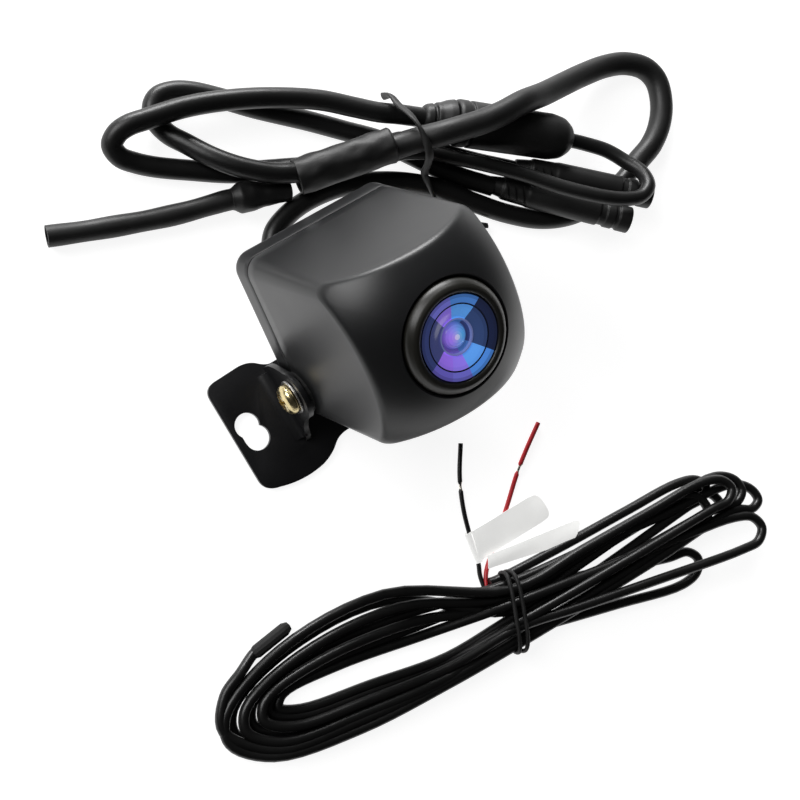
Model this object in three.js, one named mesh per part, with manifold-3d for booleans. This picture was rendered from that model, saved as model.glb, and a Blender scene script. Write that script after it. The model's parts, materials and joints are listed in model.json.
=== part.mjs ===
// Square backup camera on a tilting steel bracket, with its wiring harness and power lead.
//
// Frame: millimetres, +Z out of the surface that the bracket is screwed to, +X along the tilt
// axis, +Y up when mounted on a vehicle. The origin is on the mounting face of the bracket,
// straight below the tilt axis. The harness lies on the same surface as the bracket.
import * as THREE from 'three';
import { mergeVertices } from 'three/addons/utils/BufferGeometryUtils.js';
import Module from 'manifold-3d';

const wasm = await Module();
wasm.setup();

// ---------- driving dimensions ----------
const GAP = 0.3; // clearance between pieces that touch on the real object

// mounting bracket, pressed from one steel sheet
const SHEET = 1.0;
const WING_TIP_X = 28.4; // outer edge of each wing
const EAR_OUTER_X = 17.3;
const BEND_RADIUS = 2.0;
const EAR_NOSE_RADIUS = 4.6;
const SLOT_X = 24.75; // middle of the screw slot in each wing
const SLOT_RADIUS = 2.3;
const SLOT_TOP_Y = -0.8;
const SLOT_BOTTOM_Y = -3.6;

// tilt axis, and where the head hangs on it
const AXIS_HEIGHT = 9.2;
const REST_TILT = THREE.MathUtils.degToRad(20);
const HEAD_REAR_Z = -6.4; // back of the head, measured from the tilt axis
const HEAD_MID_Y = 9.5; // optical axis, measured from the tilt axis

// camera head
const REAR_HALF = 15.83; // half width of the square head at its back
const TAPER = 0.0405; // half width lost per millimetre towards the lens
const REAR_CORNER = 3.2;
const FRONT_CORNER = 2.2;
const FACE_RADIUS = 23.14; // sphere that the front face is cut by
const FACE_CENTRE_Z = 11.59;
const WALL = 1.6;
const SEAM_Z = -0.8; // joint line between the rear cover and the front shell
const PAD_THICKNESS = 0.7;
const SWING_RADIUS = 7.95; // the lower rear edge is rounded about the tilt axis to clear the bracket

// lens and bezel
const BEZEL_RADIUS = 9.05;
const BEZEL_BORE = 6.95;
const GLASS_RADIUS = 6.75;

// clamp screws
const SCREW_RADIUS = 1.5;
const SCREW_HEAD_RADIUS = 2.75;
const INSERT_RADIUS = 2.4;

// harness
const LEAD_RADIUS = 1.9;
const SLEEVED_RADIUS = 2.3;
const LOOP_RADIUS = 1.85;
const MODULE_LEAD_RADIUS = 1.4;
const SOCKET_LEAD_RADIUS = 1.2;
const SOCKET_RADIUS = 2.6;
const MODULE_RADIUS = 4.4;
const JUNCTION_RADIUS = 3.3;
const ANTENNA_RADIUS = 1.85;
const TIE_RADIUS = 0.65;
const WIRE_RADIUS = 0.45;
const GLAND_X = -6;
const GLAND_Y = 17.5;

// ---------- materials ----------
function finish(color, roughness, metalness) {
  return new THREE.MeshStandardMaterial({ color, roughness, metalness });
}
const blackSteel = finish(0x1a1b1d, 0.45, 0.3);
const blackShell = finish(0x2c2d2f, 0.5, 0.1);
const blackRubber = finish(0x141414, 0.8, 0);
const blackPlastic = finish(0x1d1d1f, 0.6, 0);
const gloss = finish(0x151514, 0.25, 0.1);
const glass = finish(0x2a3a70, 0.05, 0);
const champagne = finish(0xc8b478, 0.3, 0.9);
const steel = finish(0xb8babc, 0.35, 0.9);
const brass = finish(0xb08d4a, 0.35, 0.9);
const board = finish(0x1f5a34, 0.5, 0);
const chip = finish(0x101012, 0.4, 0);
const cable = finish(0x1d1d1d, 0.5, 0);
const redWire = finish(0xc0202a, 0.45, 0);
const labelFilm = finish(0xe8e8e6, 0.4, 0);

// ---------- building blocks ----------
function solid(geometry) {
  const bare = geometry.clone();
  bare.deleteAttribute('normal');
  bare.deleteAttribute('uv');
  const merged = mergeVertices(bare, 1e-4);
  return new wasm.Manifold(new wasm.Mesh({
    numProp: 3,
    vertProperties: new Float32Array(merged.attributes.position.array),
    triVerts: new Uint32Array(merged.index.array),
  }));
}

function toGeometry(manifold) {
  const mesh = manifold.getMesh();
  const geometry = new THREE.BufferGeometry();
  geometry.setAttribute('position', new THREE.BufferAttribute(mesh.vertProperties, 3));
  geometry.setIndex(new THREE.BufferAttribute(mesh.triVerts, 1));
  geometry.computeVertexNormals();
  return geometry;
}

function join(...geometries) {
  return toGeometry(geometries.map(solid).reduce((sum, next) => sum.add(next)));
}

function cut(base, ...tools) {
  return toGeometry(tools.map(solid).reduce((rest, tool) => rest.subtract(tool), solid(base)));
}

function block(x0, x1, y0, y1, z0, z1) {
  const geometry = new THREE.BoxGeometry(x1 - x0, y1 - y0, z1 - z0);
  return geometry.translate((x0 + x1) / 2, (y0 + y1) / 2, (z0 + z1) / 2);
}

// round piece about a line parallel to Z: profile is [radius, z] pairs from axis to axis
function turned(profile, x = 0, y = 0, segments = 24) {
  const points = profile.map(([radius, z]) => new THREE.Vector2(radius, z));
  return new THREE.LatheGeometry(points, segments).rotateX(Math.PI / 2).translate(x, y, 0);
}

function rod(radius, z0, z1, x = 0, y = 0, segments = 16) {
  return turned([[0, z0], [radius, z0], [radius, z1], [0, z1]], x, y, segments);
}

// round piece about the tilt axis: profile is [radius, x] pairs from axis to axis
function turnedAboutX(profile, segments = 18) {
  return turned(profile, 0, 0, segments).rotateY(Math.PI / 2);
}

// ring about a line parallel to Z, with a closed [radius, z] profile
function ring(profile, x = 0, y = 0, segments = 24) {
  return turned([...profile, profile[0]], x, y, segments);
}

// square with round corners, swept through sections {z, half, corner}
function squareLoft(sections, midY, arcSteps = 5) {
  const positions = [];
  const index = [];
  const count = 4 * (arcSteps + 1);
  for (const { z, half, corner } of sections) {
    for (let quarter = 0; quarter < 4; quarter += 1) {
      const startAngle = (quarter * Math.PI) / 2;
      const signX = quarter === 0 || quarter === 3 ? 1 : -1;
      const signY = quarter < 2 ? 1 : -1;
      for (let step = 0; step <= arcSteps; step += 1) {
        const angle = startAngle + (step / arcSteps) * (Math.PI / 2);
        positions.push(
          signX * (half - corner) + corner * Math.cos(angle),
          midY + signY * (half - corner) + corner * Math.sin(angle),
          z,
        );
      }
    }
  }
  for (let level = 0; level < sections.length - 1; level += 1) {
    for (let k = 0; k < count; k += 1) {
      const a = level * count + k;
      const b = level * count + ((k + 1) % count);
      index.push(a, b, b + count, a, b + count, a + count);
    }
  }
  const top = (sections.length - 1) * count;
  for (let k = 1; k < count - 1; k += 1) {
    index.push(0, k + 1, k, top, top + k, top + k + 1);
  }
  const geometry = new THREE.BufferGeometry();
  geometry.setAttribute('position', new THREE.Float32BufferAttribute(positions, 3));
  geometry.setIndex(index);
  return geometry;
}

function polygonShape(radius, sides) {
  const corners = [];
  for (let k = 0; k < sides; k += 1) {
    const angle = (k / sides) * 2 * Math.PI;
    corners.push(new THREE.Vector2(radius * Math.cos(angle), radius * Math.sin(angle)));
  }
  return new THREE.Shape(corners);
}

// round cord along a smooth curve through hand-placed [x, y, z] points
function tube(route, radius, sides, steps) {
  const points = route.map((p) => new THREE.Vector3(...p));
  const curve = new THREE.CatmullRomCurve3(points, false, 'centripetal');
  return new THREE.ExtrudeGeometry(polygonShape(radius, sides), {
    steps,
    extrudePath: curve,
    bevelEnabled: false,
  });
}

// turned piece lying along the line from start to end; its profile runs [radius, distance]
function turnedAlong(profile, start, end, segments = 14) {
  const from = new THREE.Vector3(...start);
  const direction = new THREE.Vector3(...end).sub(from).normalize();
  const turn = new THREE.Quaternion().setFromUnitVectors(new THREE.Vector3(0, 0, 1), direction);
  return turned(profile, 0, 0, segments).applyQuaternion(turn).translate(from.x, from.y, from.z);
}

const camera = new THREE.Group();

function add(parent, name, geometry, material) {
  const mesh = new THREE.Mesh(geometry, material);
  mesh.name = name;
  parent.add(mesh);
}

// ---------- mounting bracket ----------
function bracketOutline(side) {
  // one wing and its half of the middle, as a closed outline on the mounting face
  const outline = new THREE.Shape();
  outline.moveTo(0, 6.6);
  outline.lineTo(side * 15.4, 6.6);
  outline.quadraticCurveTo(side * 16.4, 6.6, side * 17.6, 7.6);
  outline.quadraticCurveTo(side * 19.0, 9.0, side * 21.2, 9.0);
  outline.lineTo(side * 26.0, 8.8);
  outline.quadraticCurveTo(side * WING_TIP_X, 8.7, side * WING_TIP_X, 6.4);
  outline.lineTo(side * WING_TIP_X, -10.2);
  outline.quadraticCurveTo(side * WING_TIP_X, -12.6, side * 25.8, -13.2);
  outline.bezierCurveTo(side * 22.0, -14.4, side * 19.0, -14.6, side * 16.6, -14.0);
  outline.bezierCurveTo(side * 13.4, -13.2, side * 12.2, -11.2, side * 9.4, -11.0);
  outline.lineTo(0, -11.0);
  return outline;
}

function sheetOf(shape, thickness) {
  const options = { depth: thickness, bevelEnabled: false, curveSegments: 8 };
  return new THREE.ExtrudeGeometry(shape, options);
}

function slotCutter(side) {
  // two overlapping round holes, bridged flat on the outer side
  const upper = rod(SLOT_RADIUS, -1, 3, side * (SLOT_X + 0.35), SLOT_TOP_Y, 20);
  const lower = rod(SLOT_RADIUS, -1, 3, side * (SLOT_X - 0.15), SLOT_BOTTOM_Y, 20);
  const x0 = side * (SLOT_X - 0.6);
  const x1 = side * (SLOT_X + 2.2);
  const bridge = block(Math.min(x0, x1), Math.max(x0, x1), SLOT_BOTTOM_Y, SLOT_TOP_Y, -1, 3);
  return [upper, lower, bridge];
}

function earProfile() {
  // side view of an ear, drawn as [-z, y] so that it stands up once turned about Y
  const shape = new THREE.Shape();
  const top = AXIS_HEIGHT;
  shape.moveTo(0, 6.6);
  shape.lineTo(-4.2, 6.6);
  shape.quadraticCurveTo(-top + 2.2, 6.2, -top - 1.4, EAR_NOSE_RADIUS - 0.3);
  for (let angle = 72; angle >= -90; angle -= 9) {
    const turn = THREE.MathUtils.degToRad(angle);
    shape.lineTo(-top - EAR_NOSE_RADIUS * Math.cos(turn), EAR_NOSE_RADIUS * Math.sin(turn));
  }
  shape.quadraticCurveTo(-4.4, -EAR_NOSE_RADIUS - 0.4, -SHEET - 1.6, -8.0);
  shape.lineTo(0, -9.4);
  return shape;
}

function bendFillet(side) {
  // quarter-round of metal on the outer side of the bend
  const shape = new THREE.Shape();
  const x0 = side * (EAR_OUTER_X - 0.2);
  const x1 = side * (EAR_OUTER_X + BEND_RADIUS);
  shape.moveTo(x0, SHEET - 0.2);
  shape.lineTo(x1, SHEET - 0.2);
  shape.lineTo(x1, SHEET);
  shape.quadraticCurveTo(side * (EAR_OUTER_X + 0.3), SHEET + 0.2, side * EAR_OUTER_X, SHEET + BEND_RADIUS);
  shape.lineTo(x0, SHEET + BEND_RADIUS);
  const geometry = new THREE.ExtrudeGeometry(shape, { depth: 13.4, bevelEnabled: false, curveSegments: 6 });
  return geometry.rotateX(Math.PI / 2).translate(0, 5.6, 0);
}

function buildBracket() {
  const pieces = [];
  for (const side of [-1, 1]) {
    pieces.push(sheetOf(bracketOutline(side), SHEET));
    const ear = sheetOf(earProfile(), SHEET);
    ear.rotateY(Math.PI / 2);
    ear.translate(side > 0 ? EAR_OUTER_X - SHEET : -EAR_OUTER_X, 0, 0);
    pieces.push(ear);
    pieces.push(bendFillet(side));
  }
  const holes = [-1, 1].flatMap(slotCutter);
  const hole = SCREW_RADIUS + 0.2;
  const axisHole = turnedAboutX([[0, -30], [hole, -30], [hole, 30], [0, 30]]);
  axisHole.translate(0, 0, AXIS_HEIGHT);
  add(camera, 'mounting_bracket', cut(join(...pieces), ...holes, axisHole), blackSteel);
}

// ---------- camera head ----------
const head = new THREE.Group();
head.position.set(0, 0, AXIS_HEIGHT);
head.rotation.x = REST_TILT;
camera.add(head);

function halfAt(z) {
  return REAR_HALF - TAPER * (z - HEAD_REAR_Z);
}

function headSections(z0, z1, inset) {
  return [z0, (z0 + z1) / 2, z1].map((z) => {
    const along = THREE.MathUtils.clamp((z - HEAD_REAR_Z) / 30, 0, 1);
    const corner = THREE.MathUtils.lerp(REAR_CORNER, FRONT_CORNER, along) - inset * 0.6;
    return { z, half: halfAt(z) - inset, corner: Math.max(corner, 0.8) };
  });
}

function faceDome(radius, segments, steps) {
  // everything behind the convex front face
  const profile = [[0, -12], [radius, -12], [radius, FACE_CENTRE_Z]];
  for (let k = 1; k < steps; k += 1) {
    const angle = (k / steps) * (Math.PI / 2);
    profile.push([radius * Math.cos(angle), FACE_CENTRE_Z + radius * Math.sin(angle)]);
  }
  profile.push([0, FACE_CENTRE_Z + radius]);
  return turned(profile, 0, HEAD_MID_Y, segments);
}

const COVER_SCREWS = [
  [-11.5, 21.1],
  [11.5, 21.1],
  [-7.4, -1.9],
  [7.4, -1.9],
];
const LUG_HALF = 3.3; // the rear cover carries the tilt inserts on two tongues this wide

function lugBlock(side, grow) {
  const inner = side * 10.4;
  const outer = side * (REAR_HALF + 1);
  return block(
    Math.min(inner, outer), Math.max(inner, outer),
    -LUG_HALF - grow, LUG_HALF + grow, SEAM_Z - 2.4, LUG_HALF + grow,
  );
}

function washerRecess(side) {
  const recess = turnedAboutX([[0, 14.7], [4.3, 14.7], [4.3, 20], [0, 20]], 24);
  return side < 0 ? recess.rotateY(Math.PI) : recess;
}

function buildFrontShell() {
  const outer = solid(squareLoft(headSections(SEAM_Z, 34.9, 0), HEAD_MID_Y, 6));
  let shell = outer.intersect(solid(faceDome(FACE_RADIUS, 40, 12)));
  const cavity = solid(squareLoft(headSections(SEAM_Z - 1, 33, WALL), HEAD_MID_Y, 3));
  shell = shell.subtract(cavity.intersect(solid(faceDome(FACE_RADIUS - 2.6, 20, 6))));
  const keep = solid(squareLoft(headSections(SEAM_Z, 31, 0.2), HEAD_MID_Y, 3));
  for (const [x, y] of COVER_SCREWS) {
    shell = shell.add(solid(rod(2.8, SEAM_Z, 11, x, y, 12)).intersect(keep));
    shell = shell.subtract(solid(rod(1.15, SEAM_Z - 1, 9.5, x, y, 12)));
  }
  shell = shell.subtract(solid(rod(8.3, 20, 40, 0, HEAD_MID_Y, 28)));
  shell = shell.subtract(solid(rod(BEZEL_RADIUS + 0.25, 30.7, 40, 0, HEAD_MID_Y, 28)));
  for (const side of [-1, 1]) {
    shell = shell.subtract(solid(lugBlock(side, GAP)));
    shell = shell.subtract(solid(washerRecess(side)));
  }
  add(head, 'front_shell', toGeometry(shell), blackShell);
}

function buildRearCover() {
  const rim = SEAM_Z - 0.12;
  const sections = [
    { z: HEAD_REAR_Z, half: REAR_HALF - 1.1, corner: REAR_CORNER - 0.7 },
    { z: HEAD_REAR_Z + 0.3, half: REAR_HALF - 0.55, corner: REAR_CORNER - 0.35 },
    { z: HEAD_REAR_Z + 1.0, half: REAR_HALF - 0.12, corner: REAR_CORNER },
    { z: HEAD_REAR_Z + 1.8, half: halfAt(HEAD_REAR_Z + 1.8), corner: REAR_CORNER },
    { z: rim, half: halfAt(rim), corner: REAR_CORNER },
  ];
  let cover = solid(squareLoft(sections, HEAD_MID_Y, 6));
  const floorZ = HEAD_REAR_Z + 2.2;
  const pocket = headSections(floorZ, rim + 1, WALL);
  cover = cover.subtract(solid(squareLoft(pocket, HEAD_MID_Y, 3)));
  const padZ = HEAD_REAR_Z - PAD_THICKNESS;
  cover = cover.add(solid(block(-14.2, 14.2, 0.4, 10.9, padZ, HEAD_REAR_Z + 0.5)));
  const body = solid(squareLoft(headSections(HEAD_REAR_Z + 1, 6, 0), HEAD_MID_Y, 6));
  for (const side of [-1, 1]) {
    cover = cover.add(solid(lugBlock(side, 0)).intersect(body));
  }
  for (const [x, y] of COVER_SCREWS) {
    cover = cover.subtract(solid(rod(1.15, -12, SEAM_Z + 1, x, y, 12)));
    cover = cover.subtract(solid(rod(2.1, -12, HEAD_REAR_Z + 1.4, x, y, 14)));
  }
  cover = cover.subtract(solid(rod(2.7, -12, SEAM_Z, GLAND_X, GLAND_Y, 16)));
  for (const side of [-1, 1]) {
    const boreRadius = INSERT_RADIUS + 0.2;
    const bore = turnedAboutX([[0, 10.8], [boreRadius, 10.8], [boreRadius, 20], [0, 20]]);
    if (side < 0) {
      bore.rotateY(Math.PI);
    }
    cover = cover.subtract(solid(bore));
    cover = cover.subtract(solid(washerRecess(side)));
  }
  const swing = rod(SWING_RADIUS, -20, 20, 0, 0, 64).rotateY(Math.PI / 2);
  cover = cover.subtract(solid(cut(block(-20, 20, -12, 0, -12, 0), swing)));
  add(head, 'rear_cover', toGeometry(cover), blackShell);
}

function buildGaskets() {
  // flat rubber strip in a step inside the joint line, in two lengths between the tilt tongues
  const outer = squareLoft(headSections(SEAM_Z - 1.7, SEAM_Z - 0.6, WALL + 0.35), HEAD_MID_Y, 3);
  const inner = squareLoft(headSections(SEAM_Z - 3, SEAM_Z + 1, WALL + 1.25), HEAD_MID_Y, 3);
  const frame = cut(outer, inner);
  const below = block(-20, 20, -20, LUG_HALF + GAP, -9, 9);
  const above = block(-20, 20, -LUG_HALF - GAP, 40, -9, 9);
  add(head, 'cover_gasket_upper', cut(frame, below), blackRubber);
  add(head, 'cover_gasket_lower', cut(frame, above), blackRubber);
}

function buildCoverScrews() {
  COVER_SCREWS.forEach(([x, y], index) => {
    const z = HEAD_REAR_Z + 0.2;
    const profile = [
      [0, z], [1.5, z], [1.75, z + 0.3], [1.75, z + 1.0], [0.9, z + 1.0], [0.9, 8.8], [0, 9.2],
    ];
    const cross = [
      block(-1.05, 1.05, -0.22, 0.22, z - 1, z + 0.6),
      block(-0.22, 0.22, -1.05, 1.05, z - 1, z + 0.6),
    ];
    for (const bar of cross) {
      bar.translate(x, y, 0);
    }
    add(head, `cover_screw_${index + 1}`, cut(turned(profile, x, y, 12), ...cross), steel);
  });
}

function buildLens() {
  const y = HEAD_MID_Y;
  const bezel = [
    [BEZEL_RADIUS, 31.6], [BEZEL_RADIUS, 32.6], [8.8, 33.15], [8.3, 33.75], [7.8, 34.1], [7.4, 34.15],
    [BEZEL_BORE, 33.85], [BEZEL_BORE, 31.4], [6.3, 31.4], [6.3, 27.6], [8.0, 27.6], [8.0, 31.6],
  ];
  add(head, 'lens_bezel', ring(bezel, 0, y, 28), gloss);
  const seal = [];
  for (let k = 0; k < 6; k += 1) {
    const angle = (k / 6) * 2 * Math.PI;
    seal.push([8.65 + 0.33 * Math.cos(angle), 31.15 + 0.33 * Math.sin(angle)]);
  }
  add(head, 'bezel_seal', ring(seal, 0, y, 20), blackRubber);
  const dome = [
    [0, 33.0], [2.5, 32.75], [4.6, 32.1], [5.6, 31.7], [GLASS_RADIUS, 31.7], [GLASS_RADIUS, 33.2],
    [5.6, 33.85], [4.2, 34.45], [2.6, 34.85], [1.2, 35.05], [0, 35.1],
  ];
  add(head, 'front_lens', turned(dome, 0, y, 24), glass);
  const barrel = [
    [5.6, 31.0], [4.9, 31.0], [4.9, 24.2], [4.0, 24.2], [4.0, 17.4], [3.0, 17.4], [3.0, 15.4],
    [5.2, 15.4], [5.9, 16.0], [5.9, 26.8], [5.6, 27.2],
  ];
  add(head, 'lens_barrel', ring(barrel, 0, y, 20), blackPlastic);
  const upper = [
    [0, 25.6], [2.6, 25.2], [4.6, 24.6], [4.6, 27.4], [3.0, 28.3], [1.4, 28.7], [0, 28.8],
  ];
  add(head, 'second_lens', turned(upper, 0, y, 18), glass);
  const stop = [[1.4, 23.2], [3.7, 23.2], [3.7, 23.6], [1.4, 23.6]];
  add(head, 'aperture_stop', ring(stop, 0, y, 18), chip);
  const lower = [[0, 18.2], [2.2, 18.5], [3.7, 19.2], [3.7, 20.6], [2.2, 21.4], [0, 21.8]];
  add(head, 'rear_lens', turned(lower, 0, y, 18), glass);
  const base = cut(
    join(block(-8, 8, y - 8, y + 8, 8.4, 10.6), rod(7.4, 10, 22, 0, y, 20)),
    rod(6.2, 12.6, 30, 0, y, 20),
    rod(3.6, 5, 14, 0, y, 16),
    block(-5, 5, y - 5, y + 5, 7, 9.6),
  );
  add(head, 'lens_holder', base, blackPlastic);
  add(head, 'infrared_filter', rod(5.6, 12.9, 13.3, 0, y, 18), glass);
}

function buildElectronics() {
  const y = HEAD_MID_Y;
  add(head, 'image_sensor', block(-4, 4, y - 3.5, y + 3.5, 7.0, 8.1), chip);
  const posts = [[-9, y - 5], [9, y + 7]];
  const holes = posts.map(([x, py]) => rod(1.0, -5, 12, x, py, 12));
  add(head, 'sensor_board', cut(block(-10.6, 10.6, y - 8.6, y + 8.2, 5.6, 6.7), ...holes), board);
  add(head, 'main_board', cut(block(-11.2, 11.2, y - 5.6, y + 8.6, 0.2, 1.3), ...holes), board);
  posts.forEach(([x, py], index) => {
    const name = index === 0 ? 'left' : 'right';
    const spacer = ring([[0.8, 1.6], [1.6, 1.6], [1.6, 5.3], [0.8, 5.3]], x, py, 12);
    add(head, `board_spacer_${name}`, spacer, brass);
    const profile = [[0, -1.6], [1.5, -1.6], [1.5, -0.1], [0.6, -0.1], [0.6, 7.6], [0, 7.6]];
    add(head, `board_screw_${name}`, turned(profile, x, py, 12), steel);
  });
  add(head, 'video_processor', block(-4.5, 4.5, y - 3, y + 5, 1.6, 2.8), chip);
  add(head, 'voltage_regulator', block(3.4, 8.4, y - 4.6, y - 1.6, -1.6, -0.1), chip);
  add(head, 'lead_header', block(-8, -1.5, y + 2.5, y + 6, -3.6, -0.1), labelFilm);
}

function buildGland() {
  const profile = [
    [0, HEAD_REAR_Z - 2.8], [2.3, HEAD_REAR_Z - 2.8], [2.9, HEAD_REAR_Z - 0.9], [3.4, HEAD_REAR_Z - 0.8],
    [3.4, HEAD_REAR_Z - GAP], [2.4, HEAD_REAR_Z - GAP], [2.4, SEAM_Z - 3.1], [0, SEAM_Z - 3.1],
  ];
  add(head, 'cable_gland', turned(profile, GLAND_X, GLAND_Y, 16), blackRubber);
}

function buildTiltHardware() {
  for (const side of [-1, 1]) {
    const name = side < 0 ? 'left' : 'right';
    const place = (geometry) => (side < 0 ? geometry.rotateY(Math.PI) : geometry);
    const bore = SCREW_RADIUS + 0.25;
    const insertSection = [[bore, 11.1], [INSERT_RADIUS, 11.1], [INSERT_RADIUS, 14.4], [bore, 14.4]];
    const insert = ring(insertSection, 0, 0, 16).rotateY(Math.PI / 2);
    add(head, `tilt_insert_${name}`, place(insert), brass);
    const frictionSection = [[bore, 15.0], [4.0, 15.0], [4.0, 16.0], [bore, 16.0]];
    const friction = ring(frictionSection, 0, 0, 18).rotateY(Math.PI / 2);
    add(head, `friction_washer_${name}`, place(friction), blackRubber);

    const x = EAR_OUTER_X;
    const flatSection = [[bore, x + 0.1], [3.2, x + 0.1], [3.2, x + 0.5], [bore, x + 0.5]];
    const flat = ring(flatSection, 0, 0, 18).rotateY(Math.PI / 2);
    add(camera, `flat_washer_${name}`, place(flat).translate(0, 0, AXIS_HEIGHT), steel);
    const r = SCREW_HEAD_RADIUS;
    const profile = [
      [0, 11.4], [SCREW_RADIUS - 0.4, 11.4], [SCREW_RADIUS, 11.9], [SCREW_RADIUS, x + 0.6],
      [r, x + 0.6], [r, x + 1.5], [r - 0.5, x + 2.1], [r - 1.2, x + 2.4], [0, x + 2.45],
    ];
    const bars = [
      block(x + 1.3, x + 4, -1.7, 1.7, -0.35, 0.35),
      block(x + 1.3, x + 4, -0.35, 0.35, -1.7, 1.7),
    ];
    const screw = place(cut(turnedAboutX(profile, 18), ...bars)).translate(0, 0, AXIS_HEIGHT);
    add(camera, `clamp_screw_${name}`, screw, champagne);
  }
}

// ---------- harness ----------
function buildCameraLead() {
  const first = [[-6, 19.7, 6.3], [-6, 20.4, 4.7], [-5.7, 21.9, 3.0], [-5.0, 24.0, 2.0]];
  add(camera, 'camera_lead_start', tube(first, LEAD_RADIUS, 8, 6), cable);
  const rest = [
    [-4.5, 24.9, 1.95], [-3.0, 26.5, 1.95], [0, 27.8, 1.95], [4.4, 28.6, 1.95],
    [11.2, 28.2, 1.95], [17, 26.6, 1.95], [24, 23.2, 1.95], [30.2, 18.6, 1.95],
    [35.3, 13, 1.95], [40.4, 8, 1.95], [46.5, 3.6, 1.95], [53.2, 1.2, 1.95],
    [60.9, 1.0, 1.95], [66.5, 1.8, 1.95], [69.7, 2.7, 2.0],
  ];
  add(camera, 'camera_lead', tube(rest, LEAD_RADIUS, 8, 18), cable);
  const loop = [
    [70, 2.8, 2.35], [72.2, 3.7, 2.35], [77, 5.2, 2.35], [81.1, 7.9, 2.35], [84, 11.5, 2.35],
    [85.4, 16, 2.35], [84.3, 19.3, 2.35], [80.6, 22.1, 2.5], [75.4, 23.6, 3.2], [69.1, 24.2, 4.6],
    [62.5, 24.4, 6.6], [55.6, 24.5, 9.2], [48.6, 24.9, 12.3], [43.2, 24.9, 13.2], [38.7, 25.3, 13.3],
    [34.3, 26.1, 13.2], [30.4, 27, 12.4], [27.2, 28, 10.9], [24.1, 28.8, 9.4],
  ];
  add(camera, 'sleeved_lead', tube(loop, SLEEVED_RADIUS, 8, 20), cable);
}

function buildJunction() {
  const start = [4.6, 32.9, 5.2];
  const end = [22.8, 29.7, 8.8];
  const length = new THREE.Vector3(...start).distanceTo(new THREE.Vector3(...end));
  const r = JUNCTION_RADIUS;
  const profile = [
    [0, 0], [r - 0.3, 0], [r, 0.4], [r - 0.1, length * 0.5], [r, length - 0.4],
    [r - 0.3, length], [0, length],
  ];
  add(camera, 'junction_sleeve', turnedAlong(profile, start, end, 16), cable);
}

function buildLoops() {
  const moduleFeed = [
    [4.3, 35.6, 2.6], [0.2, 37.4, 2], [-4.3, 39.2, 1.9], [-10.7, 42.9, 1.9], [-16, 46.2, 1.9],
    [-18.7, 48.3, 2.1], [-20.6, 50.2, 2.7], [-21, 52.3, 3.6], [-19.5, 53.5, 4.6], [-17.3, 53.8, 5.3],
    [-13.8, 53.3, 5.8], [-6.7, 52.2, 5.9], [1, 49.9, 6], [8.5, 46.8, 6], [15.9, 42.9, 5.8],
    [21, 39.1, 5.8], [24.7, 36.2, 6.1], [28, 34.2, 6.2], [31.4, 32, 6.2],
  ];
  add(camera, 'module_feed_lead', tube(moduleFeed, LOOP_RADIUS, 8, 20), cable);
  const lowerSocketLead = [
    [3.6, 34, 6.5], [1.2, 35.1, 6.6], [-2.1, 37.4, 6.5], [-4.8, 39.9, 6.1], [-7.3, 43.1, 5.2],
    [-9.4, 47, 3.6], [-11, 50.2, 2.2], [-11.6, 53, 1.9], [-10.8, 55.5, 1.9], [-9, 56.6, 1.9],
    [-6.2, 56.3, 1.9], [-3.3, 54.9, 1.9], [0.8, 51.7, 1.9], [5.4, 47.6, 1.9], [13.6, 41, 1.9],
    [18.5, 36.8, 1.9], [24.2, 31.9, 1.9], [27.9, 27.3, 1.9], [31.6, 22.6, 1.9], [35.4, 18.4, 2.2],
    [38.4, 15.4, 2.7],
  ];
  add(camera, 'lower_socket_lead', tube(lowerSocketLead, LOOP_RADIUS, 8, 22), cable);
}

function buildAntenna() {
  const route = [
    [-38.2, 44, 2], [-32.5, 42, 1.9], [-26.6, 40.1, 1.9], [-21, 38.4, 1.9], [-15.2, 36.9, 1.9],
    [-10.6, 35.9, 2.4], [-7.6, 35.2, 2.8],
  ];
  const sleeve = tube(route, ANTENNA_RADIUS, 10, 8);
  const boreProfile = [[0, -2], [1.45, -2], [1.45, 6], [0, 6.4]];
  const bore = turnedAlong(boreProfile, route[0], route[1], 12);
  add(camera, 'antenna_sleeve', cut(sleeve, bore), cable);
  const start = [-7.3, 35.1, 2.95];
  const end = [3.6, 31.5, 3.3];
  const profile = [
    [0, 0], [1.7, 0], [2.7, 1.3], [2.75, 3.6], [2.1, 5.6], [1.9, 11], [0, 11],
  ];
  add(camera, 'antenna_collar', turnedAlong(profile, start, end, 16), cable);
}

function buildModule() {
  const start = [32, 31.6, 6.2];
  const end = [57.8, 14.4, 6.5];
  const length = new THREE.Vector3(...start).distanceTo(new THREE.Vector3(...end));
  const r = MODULE_RADIUS;
  const body = [
    [0, 6.2], [r - 0.4, 6.2], [r, 6.8], [r, length - 4.6], [r - 0.5, length - 2.2],
    [r - 1.6, length - 0.7], [r - 2.6, length], [0, length],
  ];
  add(camera, 'signal_module', turnedAlong(body, start, end, 20), blackPlastic);
  const cap = [
    [0, 0], [2.2, 0], [2.6, 0.5], [3.3, 3.2], [r - 0.5, 4.6], [r - 0.2, 5.9], [0, 5.9],
  ];
  add(camera, 'module_cap', turnedAlong(cap, start, end, 18), blackPlastic);
  const lead = [
    [58.2, 14, 6.4], [60.6, 12, 6.6], [63.4, 9, 7.4], [65.2, 5.2, 8.8], [65.9, 2.1, 10.7],
    [64.6, -0.8, 12.4], [61.8, -1.7, 12.8], [58.4, -0.6, 12.8], [54.8, 1.7, 12.4], [48.8, 7.2, 10.8],
    [43.4, 13.2, 9.2], [37.6, 18.8, 7.6], [33, 22.8, 6.6], [30.2, 25.2, 6], [26, 27.4, 5.8],
  ];
  add(camera, 'module_lead', tube(lead, MODULE_LEAD_RADIUS, 8, 22), cable);
}

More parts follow.
